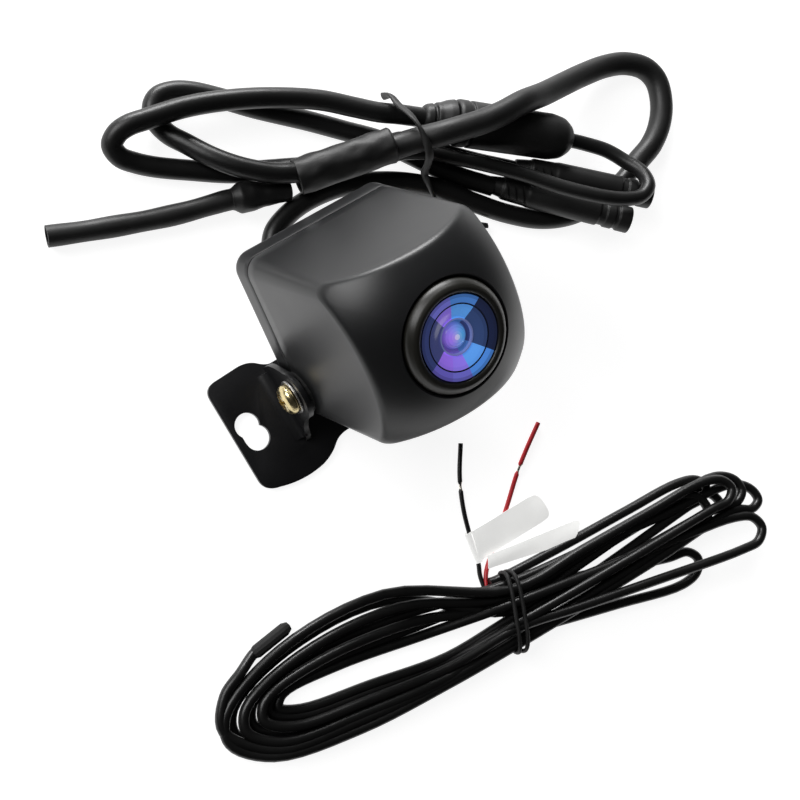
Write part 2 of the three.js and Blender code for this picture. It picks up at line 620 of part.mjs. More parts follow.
function socketProfile(length) {
  // boot, three grip ribs, body and a stepped mouth
  const r = SOCKET_RADIUS;
  const profile = [[0, 0], [1.5, 0], [1.9, 3.2]];
  for (let rib = 0; rib < 3; rib += 1) {
    const z = 3.4 + rib * 1.5;
    profile.push([r - 0.15, z], [r - 0.15, z + 0.8], [1.9, z + 0.9], [1.9, z + 1.4]);
  }
  profile.push([r, 8.2], [r, length - 6.6], [r - 0.3, length - 6.3], [r - 0.3, length - 2.6]);
  profile.push([r, length - 2.4], [r, length], [r - 0.7, length]);
  profile.push([r - 0.7, length - 5], [0, length - 5]);
  return profile;
}

function buildSockets() {
  const upper = { start: [46.1, 15.3, 2.8], end: [66.8, -3, 8.3] };
  const lower = { start: [39, 15.2, 2.8], end: [59.6, -4.9, 8.6] };
  for (const [name, { start, end }] of [['upper_socket', upper], ['lower_socket', lower]]) {
    const length = new THREE.Vector3(...start).distanceTo(new THREE.Vector3(...end));
    add(camera, name, turnedAlong(socketProfile(length), start, end, 12), blackPlastic);
  }
  const lead = [
    [24.9, 30.7, 5.4], [26.8, 30.2, 5.1], [29.4, 28.4, 4.4], [34.4, 24.6, 3], [40.4, 19.8, 2.4],
    [45.5, 15.7, 2.8],
  ];
  add(camera, 'upper_socket_lead', tube(lead, SOCKET_LEAD_RADIUS, 8, 10), cable);
}

function buildBundleTie() {
  const route = [
    [28, 38.6, 4.2], [27.8, 37.6, 7.6], [27.3, 35.4, 9.5], [26.8, 32.6, 12.6], [26.6, 30.4, 13.9],
    [26.5, 28, 13.9], [26.5, 24.9, 12.5], [26.8, 23.6, 9.4], [27, 22.4, 5.8], [27, 20.4, 5],
    [27.8, 16.6, 3], [29.2, 14.2, 1.2], [32.4, 10.2, 1], [35.6, 8, 1.4],
  ];
  add(camera, 'bundle_tie', tube(route, TIE_RADIUS, 8, 20), cable);
}

// ---------- power lead ----------
function buildHank() {
  const outline = [
    [-57.6, -44], [-54, -39.4], [-47.2, -37.4], [-40.5, -37.2], [-28.3, -39.6],
    [-17.2, -43.4], [-7, -47.6], [0, -49.6], [8, -52], [20, -54.8],
    [35.5, -56.6], [48.5, -58.6], [55, -62], [59.3, -66.4], [60.8, -71],
    [57.8, -75.3], [52.6, -76.2], [44.7, -75.4], [36.9, -75.2], [28.6, -74.4],
    [20.8, -71.8], [12.6, -68.2], [4.6, -65.2], [-6.6, -63.9], [-20, -62.2],
    [-32.8, -60.3], [-45.2, -56.6], [-54.6, -50],
  ];
  const points = [...outline, outline[0]].map(([x, y]) => new THREE.Vector2(x, y));
  const curve = new THREE.SplineCurve(points);
  const shape = new THREE.Shape(curve.getPoints(56).slice(0, -1));
  const geometry = new THREE.ExtrudeGeometry(shape, { depth: 5.0, bevelEnabled: false });
  add(camera, 'power_lead_hank', geometry.translate(0, 0, 0.95), cable);
}

function buildHankTie() {
  // flat band of twist tie, closed round the waist of the hank
  const start = new THREE.Vector3(2.8, -49.2, 0);
  const end = new THREE.Vector3(-3.3, -65.9, 0);
  const mid = start.clone().add(end).multiplyScalar(0.5);
  const reach = start.distanceTo(end) / 2;
  const band = block(-0.9, 0.9, -reach, reach, 0, 6.9);
  const hollow = block(-2, 2, -reach + 0.6, reach - 0.6, 0.6, 6.3);
  const turn = Math.atan2(start.x - end.x, start.y - end.y);
  const geometry = cut(band, hollow).rotateZ(-turn).translate(mid.x, mid.y, 0);
  add(camera, 'hank_tie', geometry, cable);
}

function buildWires() {
  const black = [
    [-1.2, -48.4, 0.5], [-0.2, -46.1, 0.5], [1.2, -40.3, 0.5],
    [2.6, -35.8, 0.5], [5.1, -30.4, 0.5], [8.7, -25, 0.5],
  ];
  add(camera, 'black_wire', tube(black, WIRE_RADIUS, 8, 14), cable);
  const red = [
    [0.2, -48.6, 0.5], [3.0, -46.2, 0.5], [9.9, -40.9, 0.5],
    [16.1, -35.9, 0.5], [20.4, -33.0, 0.5], [25, -30.2, 0.5],
  ];
  add(camera, 'red_wire', tube(red, WIRE_RADIUS, 8, 16), redWire);
}

function labelSheet(corners, z) {
  const shape = new THREE.Shape(corners.map(([x, y]) => new THREE.Vector2(x, y)));
  return new THREE.ExtrudeGeometry(shape, { depth: 0.3, bevelEnabled: false }).translate(0, 0, z);
}

function buildLabels() {
  const upper = [
    [2.0, -40.1], [17.4, -41.4], [17.8, -43.2], [17.6, -45.6], [16.2, -46.8],
    [0.6, -45.4], [0.4, -43.2],
  ];
  add(camera, 'black_wire_label', labelSheet(upper, 1.3), labelFilm);
  const lower = [
    [2.8, -45.9], [15.3, -47.3], [23.0, -50.6], [20.6, -53.2], [18.6, -53.6],
    [7.6, -50.9], [1.6, -47.8],
  ];
  add(camera, 'red_wire_label', labelSheet(lower, 2.0), labelFilm);
}

function buildLeadCap() {
  const profile = [[0, 0], [0.9, 0], [1.25, 0.8], [1.25, 7.0], [0.8, 8.0], [0, 8.2]];
  const cap = turnedAlong(profile, [-45.2, -35.6, 1.3], [-37.2, -35.0, 1.3], 12);
  add(camera, 'power_lead_cap', cap, blackRubber);
}

buildBracket();
buildFrontShell();
buildRearCover();
buildGaskets();
buildCoverScrews();
buildLens();
buildElectronics();
buildGland();
buildTiltHardware();
buildCameraLead();
buildJunction();
buildLoops();
buildAntenna();
buildModule();
buildSockets();
buildBundleTie();
buildHank();
buildHankTie();
buildWires();
buildLabels();
buildLeadCap();

export default camera;
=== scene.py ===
"""Square backup camera on its tilting bracket, with a tied wiring harness and a hanked power lead.

Millimetres are used throughout and turned into metres where a mesh is made. The frame is the CAD
frame: +Z out of the surface that everything lies on, +X along the tilt axis, +Y up when mounted.
"""

import json
import math
import random
from functools import lru_cache

import bmesh
import bpy
from mathutils import Matrix, Vector, noise


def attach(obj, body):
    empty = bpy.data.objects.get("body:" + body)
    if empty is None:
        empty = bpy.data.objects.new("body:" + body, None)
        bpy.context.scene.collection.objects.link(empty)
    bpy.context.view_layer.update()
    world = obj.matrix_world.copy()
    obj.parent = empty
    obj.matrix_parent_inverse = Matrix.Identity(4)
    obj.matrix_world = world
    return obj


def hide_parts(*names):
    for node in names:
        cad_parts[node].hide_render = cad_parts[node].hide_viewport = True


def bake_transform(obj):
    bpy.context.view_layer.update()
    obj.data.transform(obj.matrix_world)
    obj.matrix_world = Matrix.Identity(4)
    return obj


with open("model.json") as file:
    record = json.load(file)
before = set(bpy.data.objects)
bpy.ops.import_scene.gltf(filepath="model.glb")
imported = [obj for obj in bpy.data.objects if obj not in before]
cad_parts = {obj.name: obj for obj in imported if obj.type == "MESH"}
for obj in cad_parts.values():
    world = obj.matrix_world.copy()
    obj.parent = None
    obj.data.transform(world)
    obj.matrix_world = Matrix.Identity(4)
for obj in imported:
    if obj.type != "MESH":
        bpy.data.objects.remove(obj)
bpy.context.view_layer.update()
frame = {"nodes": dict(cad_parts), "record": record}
nodes = frame["nodes"]
scene = bpy.context.scene

MM = 0.001
AXIS_HEIGHT = 9.2  # tilt axis above the table
REST_TILT = math.radians(20)
HEAD_PLACE = Matrix.Translation((0, 0, AXIS_HEIGHT)) @ Matrix.Rotation(REST_TILT, 4, "X")

# camera head, in its own axes: z towards the lens from the tilt axis
HEAD_REAR_Z = -6.4
HEAD_MID_Y = 9.5
REAR_HALF = 15.83
TAPER = 0.0405
REAR_CORNER = 3.2
FRONT_CORNER = 2.2
FACE_RADIUS = 23.14
FACE_CENTRE_Z = 11.59
SEAM_Z = -0.8
WALL = 1.6
EDGE_ROUND = 0.85
SWING_RADIUS = 7.95  # the lower rear edge keeps within this of the tilt axis
BEZEL_RADIUS = 9.05
GLASS_RADIUS = 6.75
GLAND_X, GLAND_Y = -6, 17.5
COVER_SCREWS = [(-11.5, 21.1), (11.5, 21.1), (-7.4, -1.9), (7.4, -1.9)]

# bracket
SHEET = 1.0
EAR_OUTER_X = 17.3
EAR_NOSE_RADIUS = 4.6
WING_TIP_X = 28.4
SLOT_X = 24.75
SLOT_RADIUS = 2.3
SLOT_TOP_Y = -0.8
SLOT_BOTTOM_Y = -3.6

# viewpoint: its place in metres, its own right and up, and its focal length and sensor width
VIEW_PLACE = Vector((-0.06873, 0.01611, 0.19957))
VIEW_RIGHT = Vector((0.7951, -0.4934, 0.3531))
VIEW_UP = Vector((0.5067, 0.8601, 0.0609))
VIEW_LENS = 51.264
VIEW_SENSOR = 36


# ---------- camera ----------
def make_camera():
    back = VIEW_RIGHT.cross(VIEW_UP)
    turn = Matrix((VIEW_RIGHT, VIEW_UP, back)).transposed().to_4x4()
    data = bpy.data.cameras.new("view")
    data.lens = VIEW_LENS
    data.sensor_width = VIEW_SENSOR
    data.clip_start = 0.01
    camera = bpy.data.objects.new("view", data)
    camera.matrix_world = Matrix.Translation(VIEW_PLACE) @ turn
    scene.collection.objects.link(camera)
    scene.camera = camera


make_camera()


# ---------- materials ----------
def surface(name, color, rough, metallic=0.0, grain=0.0, grain_mm=0.3, mottle=0.1, mottle_mm=8,
            rough_spread=0.05, coat=0.0, specular=0.5):
    """A material with fine grain in its normals and slow change in its colour and gloss."""
    made = bpy.data.materials.new(name)
    made.use_nodes = True
    tree = made.node_tree
    shader = tree.nodes["Principled BSDF"]
    shader.inputs["Metallic"].default_value = metallic
    shader.inputs["Coat Weight"].default_value = coat
    shader.inputs["Coat Roughness"].default_value = 0.08
    shader.inputs["Specular IOR Level"].default_value = specular
    place = tree.nodes.new("ShaderNodeTexCoord")

    slow = tree.nodes.new("ShaderNodeTexNoise")
    slow.inputs["Scale"].default_value = 1 / (mottle_mm * MM)
    slow.inputs["Detail"].default_value = 3
    tree.links.new(place.outputs["Object"], slow.inputs["Vector"])

    tone = tree.nodes.new("ShaderNodeValToRGB")
    tone.color_ramp.elements[0].position = 0.3
    tone.color_ramp.elements[1].position = 0.7
    tone.color_ramp.elements[0].color = (*[c * (1 - mottle) for c in color], 1)
    tone.color_ramp.elements[1].color = (*[min(1, c * (1 + mottle)) for c in color], 1)
    tree.links.new(slow.outputs["Fac"], tone.inputs["Fac"])
    tree.links.new(tone.outputs["Color"], shader.inputs["Base Color"])

    gloss = tree.nodes.new("ShaderNodeMapRange")
    gloss.inputs["From Min"].default_value = 0.3
    gloss.inputs["From Max"].default_value = 0.7
    gloss.inputs["To Min"].default_value = max(0.02, rough - rough_spread)
    gloss.inputs["To Max"].default_value = min(1, rough + rough_spread)
    tree.links.new(slow.outputs["Fac"], gloss.inputs["Value"])
    tree.links.new(gloss.outputs["Result"], shader.inputs["Roughness"])

    if grain > 0:
        fine = tree.nodes.new("ShaderNodeTexNoise")
        fine.inputs["Scale"].default_value = 1 / (grain_mm * MM)
        fine.inputs["Detail"].default_value = 2
        tree.links.new(place.outputs["Object"], fine.inputs["Vector"])
        bump = tree.nodes.new("ShaderNodeBump")
        bump.inputs["Strength"].default_value = grain
        bump.inputs["Distance"].default_value = 0.1 * grain_mm * MM
        tree.links.new(fine.outputs["Fac"], bump.inputs["Height"])
        tree.links.new(bump.outputs["Normal"], shader.inputs["Normal"])
    return made


def painted(name, layer, rough, coat=0.0, metallic=0.0):
    """A material whose colour is worked out point by point in the mesh's colour layer."""
    made = surface(name, (0.5, 0.5, 0.5), rough, metallic=metallic, coat=coat)
    tree = made.node_tree
    shader = tree.nodes["Principled BSDF"]
    colour = tree.nodes.new("ShaderNodeVertexColor")
    colour.layer_name = layer
    tree.links.new(colour.outputs["Color"], shader.inputs["Base Color"])
    return made


def glowing(made, strength, color=None):
    """Adds emission, in one colour or in the material's own: painted light on the label film and the
    coated lens, and an even glow on the floor.
    """
    tree = made.node_tree
    shader = tree.nodes["Principled BSDF"]
    shader.inputs["Emission Strength"].default_value = strength
    if color:
        shader.inputs["Emission Color"].default_value = (*color, 1)
    else:
        source = shader.inputs["Base Color"].links[0].from_socket
        tree.links.new(source, shader.inputs["Emission Color"])
    return made


def glass_material(name, tint, alpha):
    """Thin coated glass: mostly seen through, with sharp reflections."""
    made = surface(name, tint, 0.03, mottle=0.05, rough_spread=0.01, coat=1.0, specular=0.8)
    shader = made.node_tree.nodes["Principled BSDF"]
    shader.inputs["Alpha"].default_value = alpha
    made.surface_render_method = "BLENDED"
    return made


FINISH = {
    "bracket_paint": surface("bracket_paint", (0.006, 0.006, 0.007), 0.42, grain=0.35, grain_mm=0.5,
                             mottle=0.12, rough_spread=0.04),
    "shell": surface("shell", (0.0085, 0.0088, 0.0095), 0.36, grain=0.3, grain_mm=0.22,
                     mottle=0.06, rough_spread=0.015),
    "bezel": surface("bezel", (0.012, 0.0115, 0.009), 0.36, grain=0.1, grain_mm=0.3, mottle=0.06),
    "barrel": surface("barrel", (0.006, 0.006, 0.007), 0.6, grain=0.3),
    "seal_rubber": surface("seal_rubber", (0.010, 0.010, 0.010), 0.75, grain=0.3, grain_mm=0.4),
    "yellow_zinc": surface("yellow_zinc", (0.72, 0.60, 0.33), 0.24, metallic=1.0, grain=0.25,
                           grain_mm=0.5, mottle=0.25, mottle_mm=1.6, rough_spread=0.1),
    "steel": surface("steel", (0.60, 0.59, 0.57), 0.3, metallic=1.0, grain=0.2, grain_mm=0.4,
                     mottle=0.12, mottle_mm=2, rough_spread=0.08),
    "brass": surface("brass", (0.75, 0.53, 0.24), 0.3, metallic=1.0, grain=0.2, mottle_mm=2),
    "circuit_board": surface("circuit_board", (0.012, 0.10, 0.035), 0.35, grain=0.2, mottle=0.2,
                             mottle_mm=3),
    "chip": surface("chip", (0.010, 0.010, 0.012), 0.4, grain=0.3),
    "header": surface("header", (0.70, 0.67, 0.58), 0.5, grain=0.2),
    "cable_jacket": surface("cable_jacket", (0.006, 0.006, 0.006), 0.4, grain=0.35, grain_mm=0.6,
                            mottle=0.15, mottle_mm=14, rough_spread=0.05),
    "cable_sleeve": surface("cable_sleeve", (0.0075, 0.0075, 0.0075), 0.5, grain=0.5, grain_mm=0.5,
                            mottle=0.12, mottle_mm=6, rough_spread=0.06),
    "connector": surface("connector", (0.008, 0.008, 0.008), 0.48, grain=0.5, grain_mm=0.25,
                         mottle=0.1, mottle_mm=6),
    "twist_tie": surface("twist_tie", (0.010, 0.010, 0.010), 0.55, grain=0.4, grain_mm=0.5),
    "power_jacket": surface("power_jacket", (0.0045, 0.0045, 0.0045), 0.36, grain=0.25, grain_mm=0.5,
                            mottle=0.15, mottle_mm=10),
    "black_insulation": surface("black_insulation", (0.005, 0.005, 0.005), 0.35, grain=0.2),
    "red_insulation": surface("red_insulation", (0.52, 0.018, 0.026), 0.38, grain=0.2, mottle=0.1,
                              mottle_mm=3),
    # the label film glows at 0.78: painted light that keeps it bright where the lamps leave it dim
    "label_film": glowing(surface("label_film", (0.62, 0.62, 0.61), 0.42, grain=0.25, grain_mm=1.5,
                                  mottle=0.04, mottle_mm=5), 0.78),
    "bare_copper": surface("bare_copper", (0.80, 0.76, 0.68), 0.3, metallic=1.0, grain=0.4,
                           grain_mm=0.2, mottle=0.15, mottle_mm=1),
    "lens_glass": glass_material("lens_glass", (0.30, 0.38, 0.62), 0.35),
    "filter_glass": glass_material("filter_glass", (0.35, 0.60, 0.65), 0.5),
}


# ---------- mesh helpers ----------
def solid_mesh(name, points, faces, place):
    """A mesh from points in millimetres, with doubled points merged and faces turned outward."""
    mesh = bpy.data.meshes.new(name)
    place = place or Matrix()
    mesh.from_pydata([(place @ Vector(p)) * MM for p in points], [], faces)
    work = bmesh.new()
    work.from_mesh(mesh)
    bmesh.ops.remove_doubles(work, verts=work.verts, dist=1e-7)
    bmesh.ops.recalc_face_normals(work, faces=work.faces)
    work.to_mesh(mesh)
    work.free()
    return mesh


def added(name, data):
    """A new object in the scene, holding that mesh or light."""
    made = bpy.data.objects.new(name, data)
    scene.collection.objects.link(made)
    return made


def piece(name, points, faces, body, finish, stands_for=(), place=None, sharp_deg=38, ride=True):
    """A mesh object from points in millimetres, smooth except across sharp edges."""
    mesh = solid_mesh(name, points, faces, place)
    mesh.shade_smooth()
    mesh.set_sharp_from_angle(angle=math.radians(sharp_deg))
    made = added(name, mesh)
    mesh.materials.append(FINISH[finish] if isinstance(finish, str) else finish)
    if ride:
        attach(made, body)
    if stands_for:
        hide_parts(*stands_for)
    return made


def skin(rings, closed_start=True, closed_end=True):
    """Points and faces of the surface through rings of points, one after another."""
    count = len(rings[0])
    points = [p for ring in rings for p in ring]
    faces = []
    for level in range(len(rings) - 1):
        for k in range(count):
            a = level * count + k
            b = level * count + (k + 1) % count
            faces.append((a, b, b + count, a + count))
    if closed_start:
        faces.append(tuple(reversed(range(count))))
    if closed_end:
        last = (len(rings) - 1) * count
        faces.append(tuple(range(last, last + count)))
    return points, faces


def circle(radius, z, segments, x=0, y=0):
    turns = [2 * math.pi * k / segments for k in range(segments)]
    return [(x + radius * math.cos(t), y + radius * math.sin(t), z) for t in turns]


def softened(profile, radius=0.3, steps=4):
    """A [radius, distance] profile with each of its inner corners rounded."""
    out = [profile[0]]
    for before, corner, after in zip(profile, profile[1:], profile[2:]):
        a, b, c = Vector(before), Vector(corner), Vector(after)
        reach = min(radius, 0.45 * (a - b).length, 0.45 * (c - b).length)
        if reach < 1e-4:
            out.append(corner)
            continue
        p = b + (a - b).normalized() * reach
        q = b + (c - b).normalized() * reach
        for k in range(steps + 1):
            t = k / steps
            spot = (1 - t) ** 2 * p + 2 * t * (1 - t) * b + t * t * q
            out.append((spot.x, spot.y))
    out.append(profile[-1])
    return out


def turned(profile, segments=48, x=0, y=0, loop=False):
    """A round solid about z from a [radius, z] profile, open in the middle if loop is true."""
    rings = [circle(max(r, 1e-5), z, segments, x, y) for r, z in profile]
    if loop:
        rings.append(rings[0])
        return skin(rings, False, False)
    return skin(rings, True, True)


def toward(start, end):
    """The place of a turned piece whose own z runs from start to end."""
    direction = Vector(end) - Vector(start)
    return Matrix.Translation(start) @ direction.to_track_quat("Z", "Y").to_matrix().to_4x4()


def about_x(side=1):
    """The place of a turned piece whose own z runs along the tilt axis, outward on that side."""
    return Matrix.Translation((0, 0, AXIS_HEIGHT)) @ Matrix.Rotation(side * math.pi / 2, 4, "Y")


# ---------- cords ----------
CORD_SIDES = 24


def smooth_line(route, per_span=8):
    """The centripetal curve through given points, in millimetres."""
    points = [Vector(p) for p in route]
    points = [2 * points[0] - points[1], *points, 2 * points[-1] - points[-2]]
    line = []
    for p0, p1, p2, p3 in zip(points, points[1:], points[2:], points[3:]):
        d0, d1, d2 = [max(v.length, 1e-6) ** 0.5 for v in (p1 - p0, p2 - p1, p3 - p2)]
        m1 = ((p1 - p0) / d0 - (p2 - p0) / (d0 + d1) + (p2 - p1) / d1) * d1
        m2 = ((p2 - p1) / d1 - (p3 - p1) / (d1 + d2) + (p3 - p2) / d2) * d1
        for k in range(per_span):
            t = k / per_span
            line.append(
                (2 * t**3 - 3 * t**2 + 1) * p1 + (t**3 - 2 * t**2 + t) * m1
                + (3 * t**2 - 2 * t**3) * p2 + (t**3 - t**2) * m2
            )
    line.append(points[-2])
    return line


def line_length(line):
    return sum((b - a).length for a, b in zip(line, line[1:]))


def carried(line):
    """Each spot of a line with the way ahead and a direction across it that twists little."""
    normal = None
    for k, spot in enumerate(line):
        ahead = (line[min(k + 1, len(line) - 1)] - line[max(k - 1, 0)]).normalized()
        normal = ahead.orthogonal().normalized() if normal is None else normal
        normal = (normal - ahead * normal.dot(ahead)).normalized()
        yield spot, ahead, normal


def tube_rings(line, radius_at, sides):
    """Rings of points round a line; radius_at gives the radius at each share of its length."""
    total = line_length(line)
    gone = 0.0
    last = line[0]
    rings = []
    for spot, ahead, normal in carried(line):
        gone += (spot - last).length
        last = spot
        other = ahead.cross(normal)
        radius = radius_at(gone / total)
        ring = []
        for j in range(sides):
            turn = 2 * math.pi * j / sides
            ring.append(spot + (normal * math.cos(turn) + other * math.sin(turn)) * radius)
        rings.append(ring)
    return rings


def cord(name, route, diameter, finish, stands_for,
         crossing=None):
    """A cord as a tube along a route. crossing is (bodies, start, end) across a joint; when it is given,
    the tube rides no body, and its bodies and ends are not used.
    """
    line = smooth_line(route)
    points, faces = skin(tube_rings(line, lambda share: diameter / 2, CORD_SIDES))
    made = piece(name, points, faces, "base", finish, stands_for, sharp_deg=60, ride=crossing is None)
    if crossing:
        (first, second), start, end = crossing
        Vector(start) * MM
        Vector(end) * MM
        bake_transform(made)
    Vector(route[0]) * MM


CAMERA_LEAD = [
    (-6, 19.7, 6.3), (-6, 20.4, 4.7), (-5.7, 21.9, 3.0), (-5.0, 24.0, 2.0), (-4.5, 24.9, 1.95),
    (-3.0, 26.5, 1.95), (0, 27.8, 1.95), (4.4, 28.6, 1.95), (11.2, 28.2, 1.95), (17, 26.6, 1.95),
    (24, 23.2, 1.95), (30.2, 18.6, 1.95), (35.3, 13, 1.95), (40.4, 8, 1.95), (46.5, 3.6, 1.95),
    (53.2, 1.2, 1.95), (60.9, 1.0, 1.95), (66.5, 1.8, 1.95), (69.7, 2.7, 2.0), (71.2, 3.3, 2.3),
]
SLEEVED_LEAD = [
    (70, 2.8, 2.35), (72.2, 3.7, 2.35), (77, 5.2, 2.35), (81.1, 7.9, 2.35), (84, 11.5, 2.35),
    (85.4, 16, 2.35), (84.3, 19.3, 2.35), (80.6, 22.1, 2.5), (75.4, 23.6, 3.2), (69.1, 24.2, 4.6),
    (62.5, 24.4, 6.6), (55.6, 24.5, 9.2), (48.6, 24.9, 12.3), (43.2, 24.9, 13.2), (38.7, 25.3, 13.3),
    (34.3, 26.1, 13.2), (30.4, 27, 12.4), (27.2, 28, 10.9), (24.1, 28.8, 9.4), (21.4, 29.3, 8.6),
]
MODULE_FEED_LEAD = [
    (8.2, 33.6, 4.2), (4.3, 35.6, 2.6), (0.2, 37.4, 2), (-4.3, 39.2, 1.9), (-10.7, 42.9, 1.9),
    (-16, 46.2, 1.9), (-18.7, 48.3, 2.1), (-20.6, 50.2, 2.7), (-21, 52.3, 3.6), (-19.5, 53.5, 4.6),
    (-17.3, 53.8, 5.3), (-13.8, 53.3, 5.8), (-6.7, 52.2, 5.9), (1, 49.9, 6), (8.5, 46.8, 6),
    (15.9, 42.9, 5.8), (21, 39.1, 5.8), (24.7, 36.2, 6.1), (28, 34.2, 6.2), (31.4, 32, 6.2),
    (34.4, 30, 6.2),
]
LOWER_SOCKET_LEAD = [
    (8.4, 32.2, 5.8), (3.6, 34, 6.5), (1.2, 35.1, 6.6), (-2.1, 37.4, 6.5), (-4.8, 39.9, 6.1),
    (-7.3, 43.1, 5.2), (-9.4, 47, 3.6), (-11, 50.2, 2.2), (-11.6, 53, 1.9), (-10.8, 55.5, 1.9),
    (-9, 56.6, 1.9), (-6.2, 56.3, 1.9), (-3.3, 54.9, 1.9), (0.8, 51.7, 1.9), (5.4, 47.6, 1.9),
    (13.6, 41, 1.9), (18.5, 36.8, 1.9), (24.2, 31.9, 1.9), (27.9, 27.3, 1.9), (31.6, 22.6, 1.9),
    (35.4, 18.4, 2.2), (38.4, 15.4, 2.7), (39.8, 14, 3),
]
ANTENNA_SLEEVE = [
    (-5.5, 34.4, 2.9), (-7.6, 35.2, 2.8), (-10.6, 35.9, 2.4), (-15.2, 36.9, 1.9), (-21, 38.4, 1.9),
    (-26.6, 40.1, 1.9), (-32.5, 42, 1.9), (-38.2, 44, 2),
]
MODULE_LEAD = [
    (56.4, 15.2, 6.4), (58.2, 14, 6.4), (60.6, 12, 6.6), (63.4, 9, 7.4), (65.2, 5.2, 8.8),
    (65.9, 2.1, 10.7), (64.6, -0.8, 12.4), (61.8, -1.7, 12.8), (58.4, -0.6, 12.8), (54.8, 1.7, 12.4),
    (48.8, 7.2, 10.8), (43.4, 13.2, 9.2), (37.6, 18.8, 7.6), (33, 22.8, 6.6), (30.2, 25.2, 6),
    (26, 27.4, 5.8), (22.8, 28.2, 6.8),
]
UPPER_SOCKET_LEAD = [
    (20.6, 31, 6.6), (24.9, 30.7, 5.4), (26.8, 30.2, 5.1), (29.4, 28.4, 4.4), (34.4, 24.6, 3),
    (40.4, 19.8, 2.4), (45.5, 15.7, 2.8), (47.6, 13.6, 3.4),
]


def make_harness_cords():
    bend = ("head", "base"), (-6, 20.4, 5.2), (-5.0, 24.0, 2.0)
    cord("camera_lead_tube", CAMERA_LEAD, 3.8, "cable_jacket", ["camera_lead_start", "camera_lead"],
         crossing=bend)
    cord("sleeved_lead_tube", SLEEVED_LEAD, 4.6, "cable_sleeve", ["sleeved_lead"])
    cord("module_feed_tube", MODULE_FEED_LEAD, 3.7, "cable_jacket", ["module_feed_lead"])
    cord("lower_socket_tube", LOWER_SOCKET_LEAD, 3.7, "cable_jacket", ["lower_socket_lead"])
    cord("module_lead_tube", MODULE_LEAD, 2.8, "cable_jacket", ["module_lead"])
    cord("upper_socket_tube", UPPER_SOCKET_LEAD, 2.4, "cable_jacket", ["upper_socket_lead"])


def make_antenna():
    """The shrink-sleeved end, cut square and hollow for its last few millimetres."""
    line = smooth_line(ANTENNA_SLEEVE, 8)
    outer = tube_rings(line, lambda share: 1.85 + 0.05 * math.sin(share * 21), 28)
    mouth = tube_rings(line, lambda share: 1.5, 28)
    rings = outer + list(reversed(mouth[-14:]))
    points, faces = skin(rings)
    made = piece("antenna_tube", points, faces, "base", "cable_sleeve", ["antenna_sleeve"])
    Vector(ANTENNA_SLEEVE[0]) * MM


# ---------- power lead ----------
POWER_DIAMETER = 1.95
LOWEST_LAYER = 1.0  # height of the centre of the strands that lie on the surface
LAYER = 1.75  # rise from one layer of strands to the next
TIE_TOP = Vector((2.2, -50.9))
TIE_BOTTOM = Vector((-2.6, -63.0))
RIGHT_TIPS = [  # where each fold at the right end turns, and which way it points
    (50.6, -60.8, -14), (59.0, -69.4, -38), (53.6, -63.2, -18), (41.0, -72.2, -8),
    (56.6, -65.6, -30), (55.6, -73.8, -20), (51.6, -66.4, -26), (47.4, -64.4, -24),
]
# which place, from outside to inside, each fold at the left end takes
LEFT_ORDER = [3, 0, 5, 2, 6, 4, 1]
LEFT_OUTER = [(-20, -39.9), (-41, -37.3), (-54.5, -41.0), (-56.6, -45.6), (-51.4, -52.4),
              (-36, -57.6), (-18, -60.8)]
LEAD_OUT = [(-56.4, -43.4), (-53.2, -38.6), (-48.6, -36.4)]  # the free end leaves the last fold
LEFT_INNER = [(-16.5, -50.9), (-34, -45.9), (-44.4, -44.6), (-46.2, -46.2), (-43.0, -48.9),
              (-30, -52.9), (-15, -57.0)]


def hank_route():
    """The lead's path: folds at the right and left ends in turn, through the tie between them."""
    rng = random.Random(7)
    folds = len(RIGHT_TIPS)
    route = [(-0.8, -50.2, 2.0), (0.6, -50.6, 2.0)]
    for k, (x, y, heading) in enumerate(RIGHT_TIPS):
        low = LOWEST_LAYER + LAYER * (k % 3)
        outward = Vector((math.cos(math.radians(heading)), math.sin(math.radians(heading))))
        side = Vector((-outward.y, outward.x))
        tip = Vector((x, y))
        upper_lane = TIE_TOP.lerp(TIE_BOTTOM, 0.02 + 0.066 * k)
        lower_lane = TIE_TOP.lerp(TIE_BOTTOM, 0.98 - 0.066 * LEFT_ORDER[min(k, folds - 2)])
        width = 2.5 + 0.15 * k
        into = tip - outward * 6 + side * width
        back = tip - outward * 6 - side * width
        if k:
            route.append((*upper_lane, low + 0.9))
        route.append((*upper_lane.lerp(into, 0.35), low + 0.5))
        route.append((*upper_lane.lerp(into, 0.7), low))
        route.append((*into, low))
        route.append((*(tip - outward * 1.6 + side * width * 0.75), low + 0.3))
        route.append((*tip, low + 0.6))
        route.append((*(tip - outward * 1.6 - side * width * 0.75), low + 0.9))
        route.append((*back, low + 1.2))
        route.append((*back.lerp(lower_lane, 0.4), low + 1.5))
        route.append((*back.lerp(lower_lane, 0.75), low + 1.2))
        route.append((*lower_lane, low + 0.6))
        share = LEFT_ORDER[min(k, folds - 2)] / (folds - 2)
        height = LOWEST_LAYER + LAYER * (k % 2)
        stations = [Vector(o).lerp(Vector(i), share) for o, i in zip(LEFT_OUTER, LEFT_INNER)]
        spots = list(reversed(stations))
        if k == folds - 1:
            spots = spots[:3] + [Vector(p) for p in LEAD_OUT]
        for n, spot in enumerate(spots):
            jitter = rng.uniform(-0.25, 0.25)
            lift = 0.5 if n in (0, 6) else 0
            route.append((spot.x, spot.y + jitter, height + lift))
    route.append((-45.2, -35.6, 1.3))
    route.append((-43.6, -35.4, 1.3))
    return route


def make_hank():
    route = hank_route()
    line = smooth_line(route, 6)
    points, faces = skin(tube_rings(line, lambda share: POWER_DIAMETER / 2, 12))
    made = piece("power_lead", points, faces, "base", "power_jacket", ["power_lead_hank"], sharp_deg=60)
    Vector(route[0]) * MM


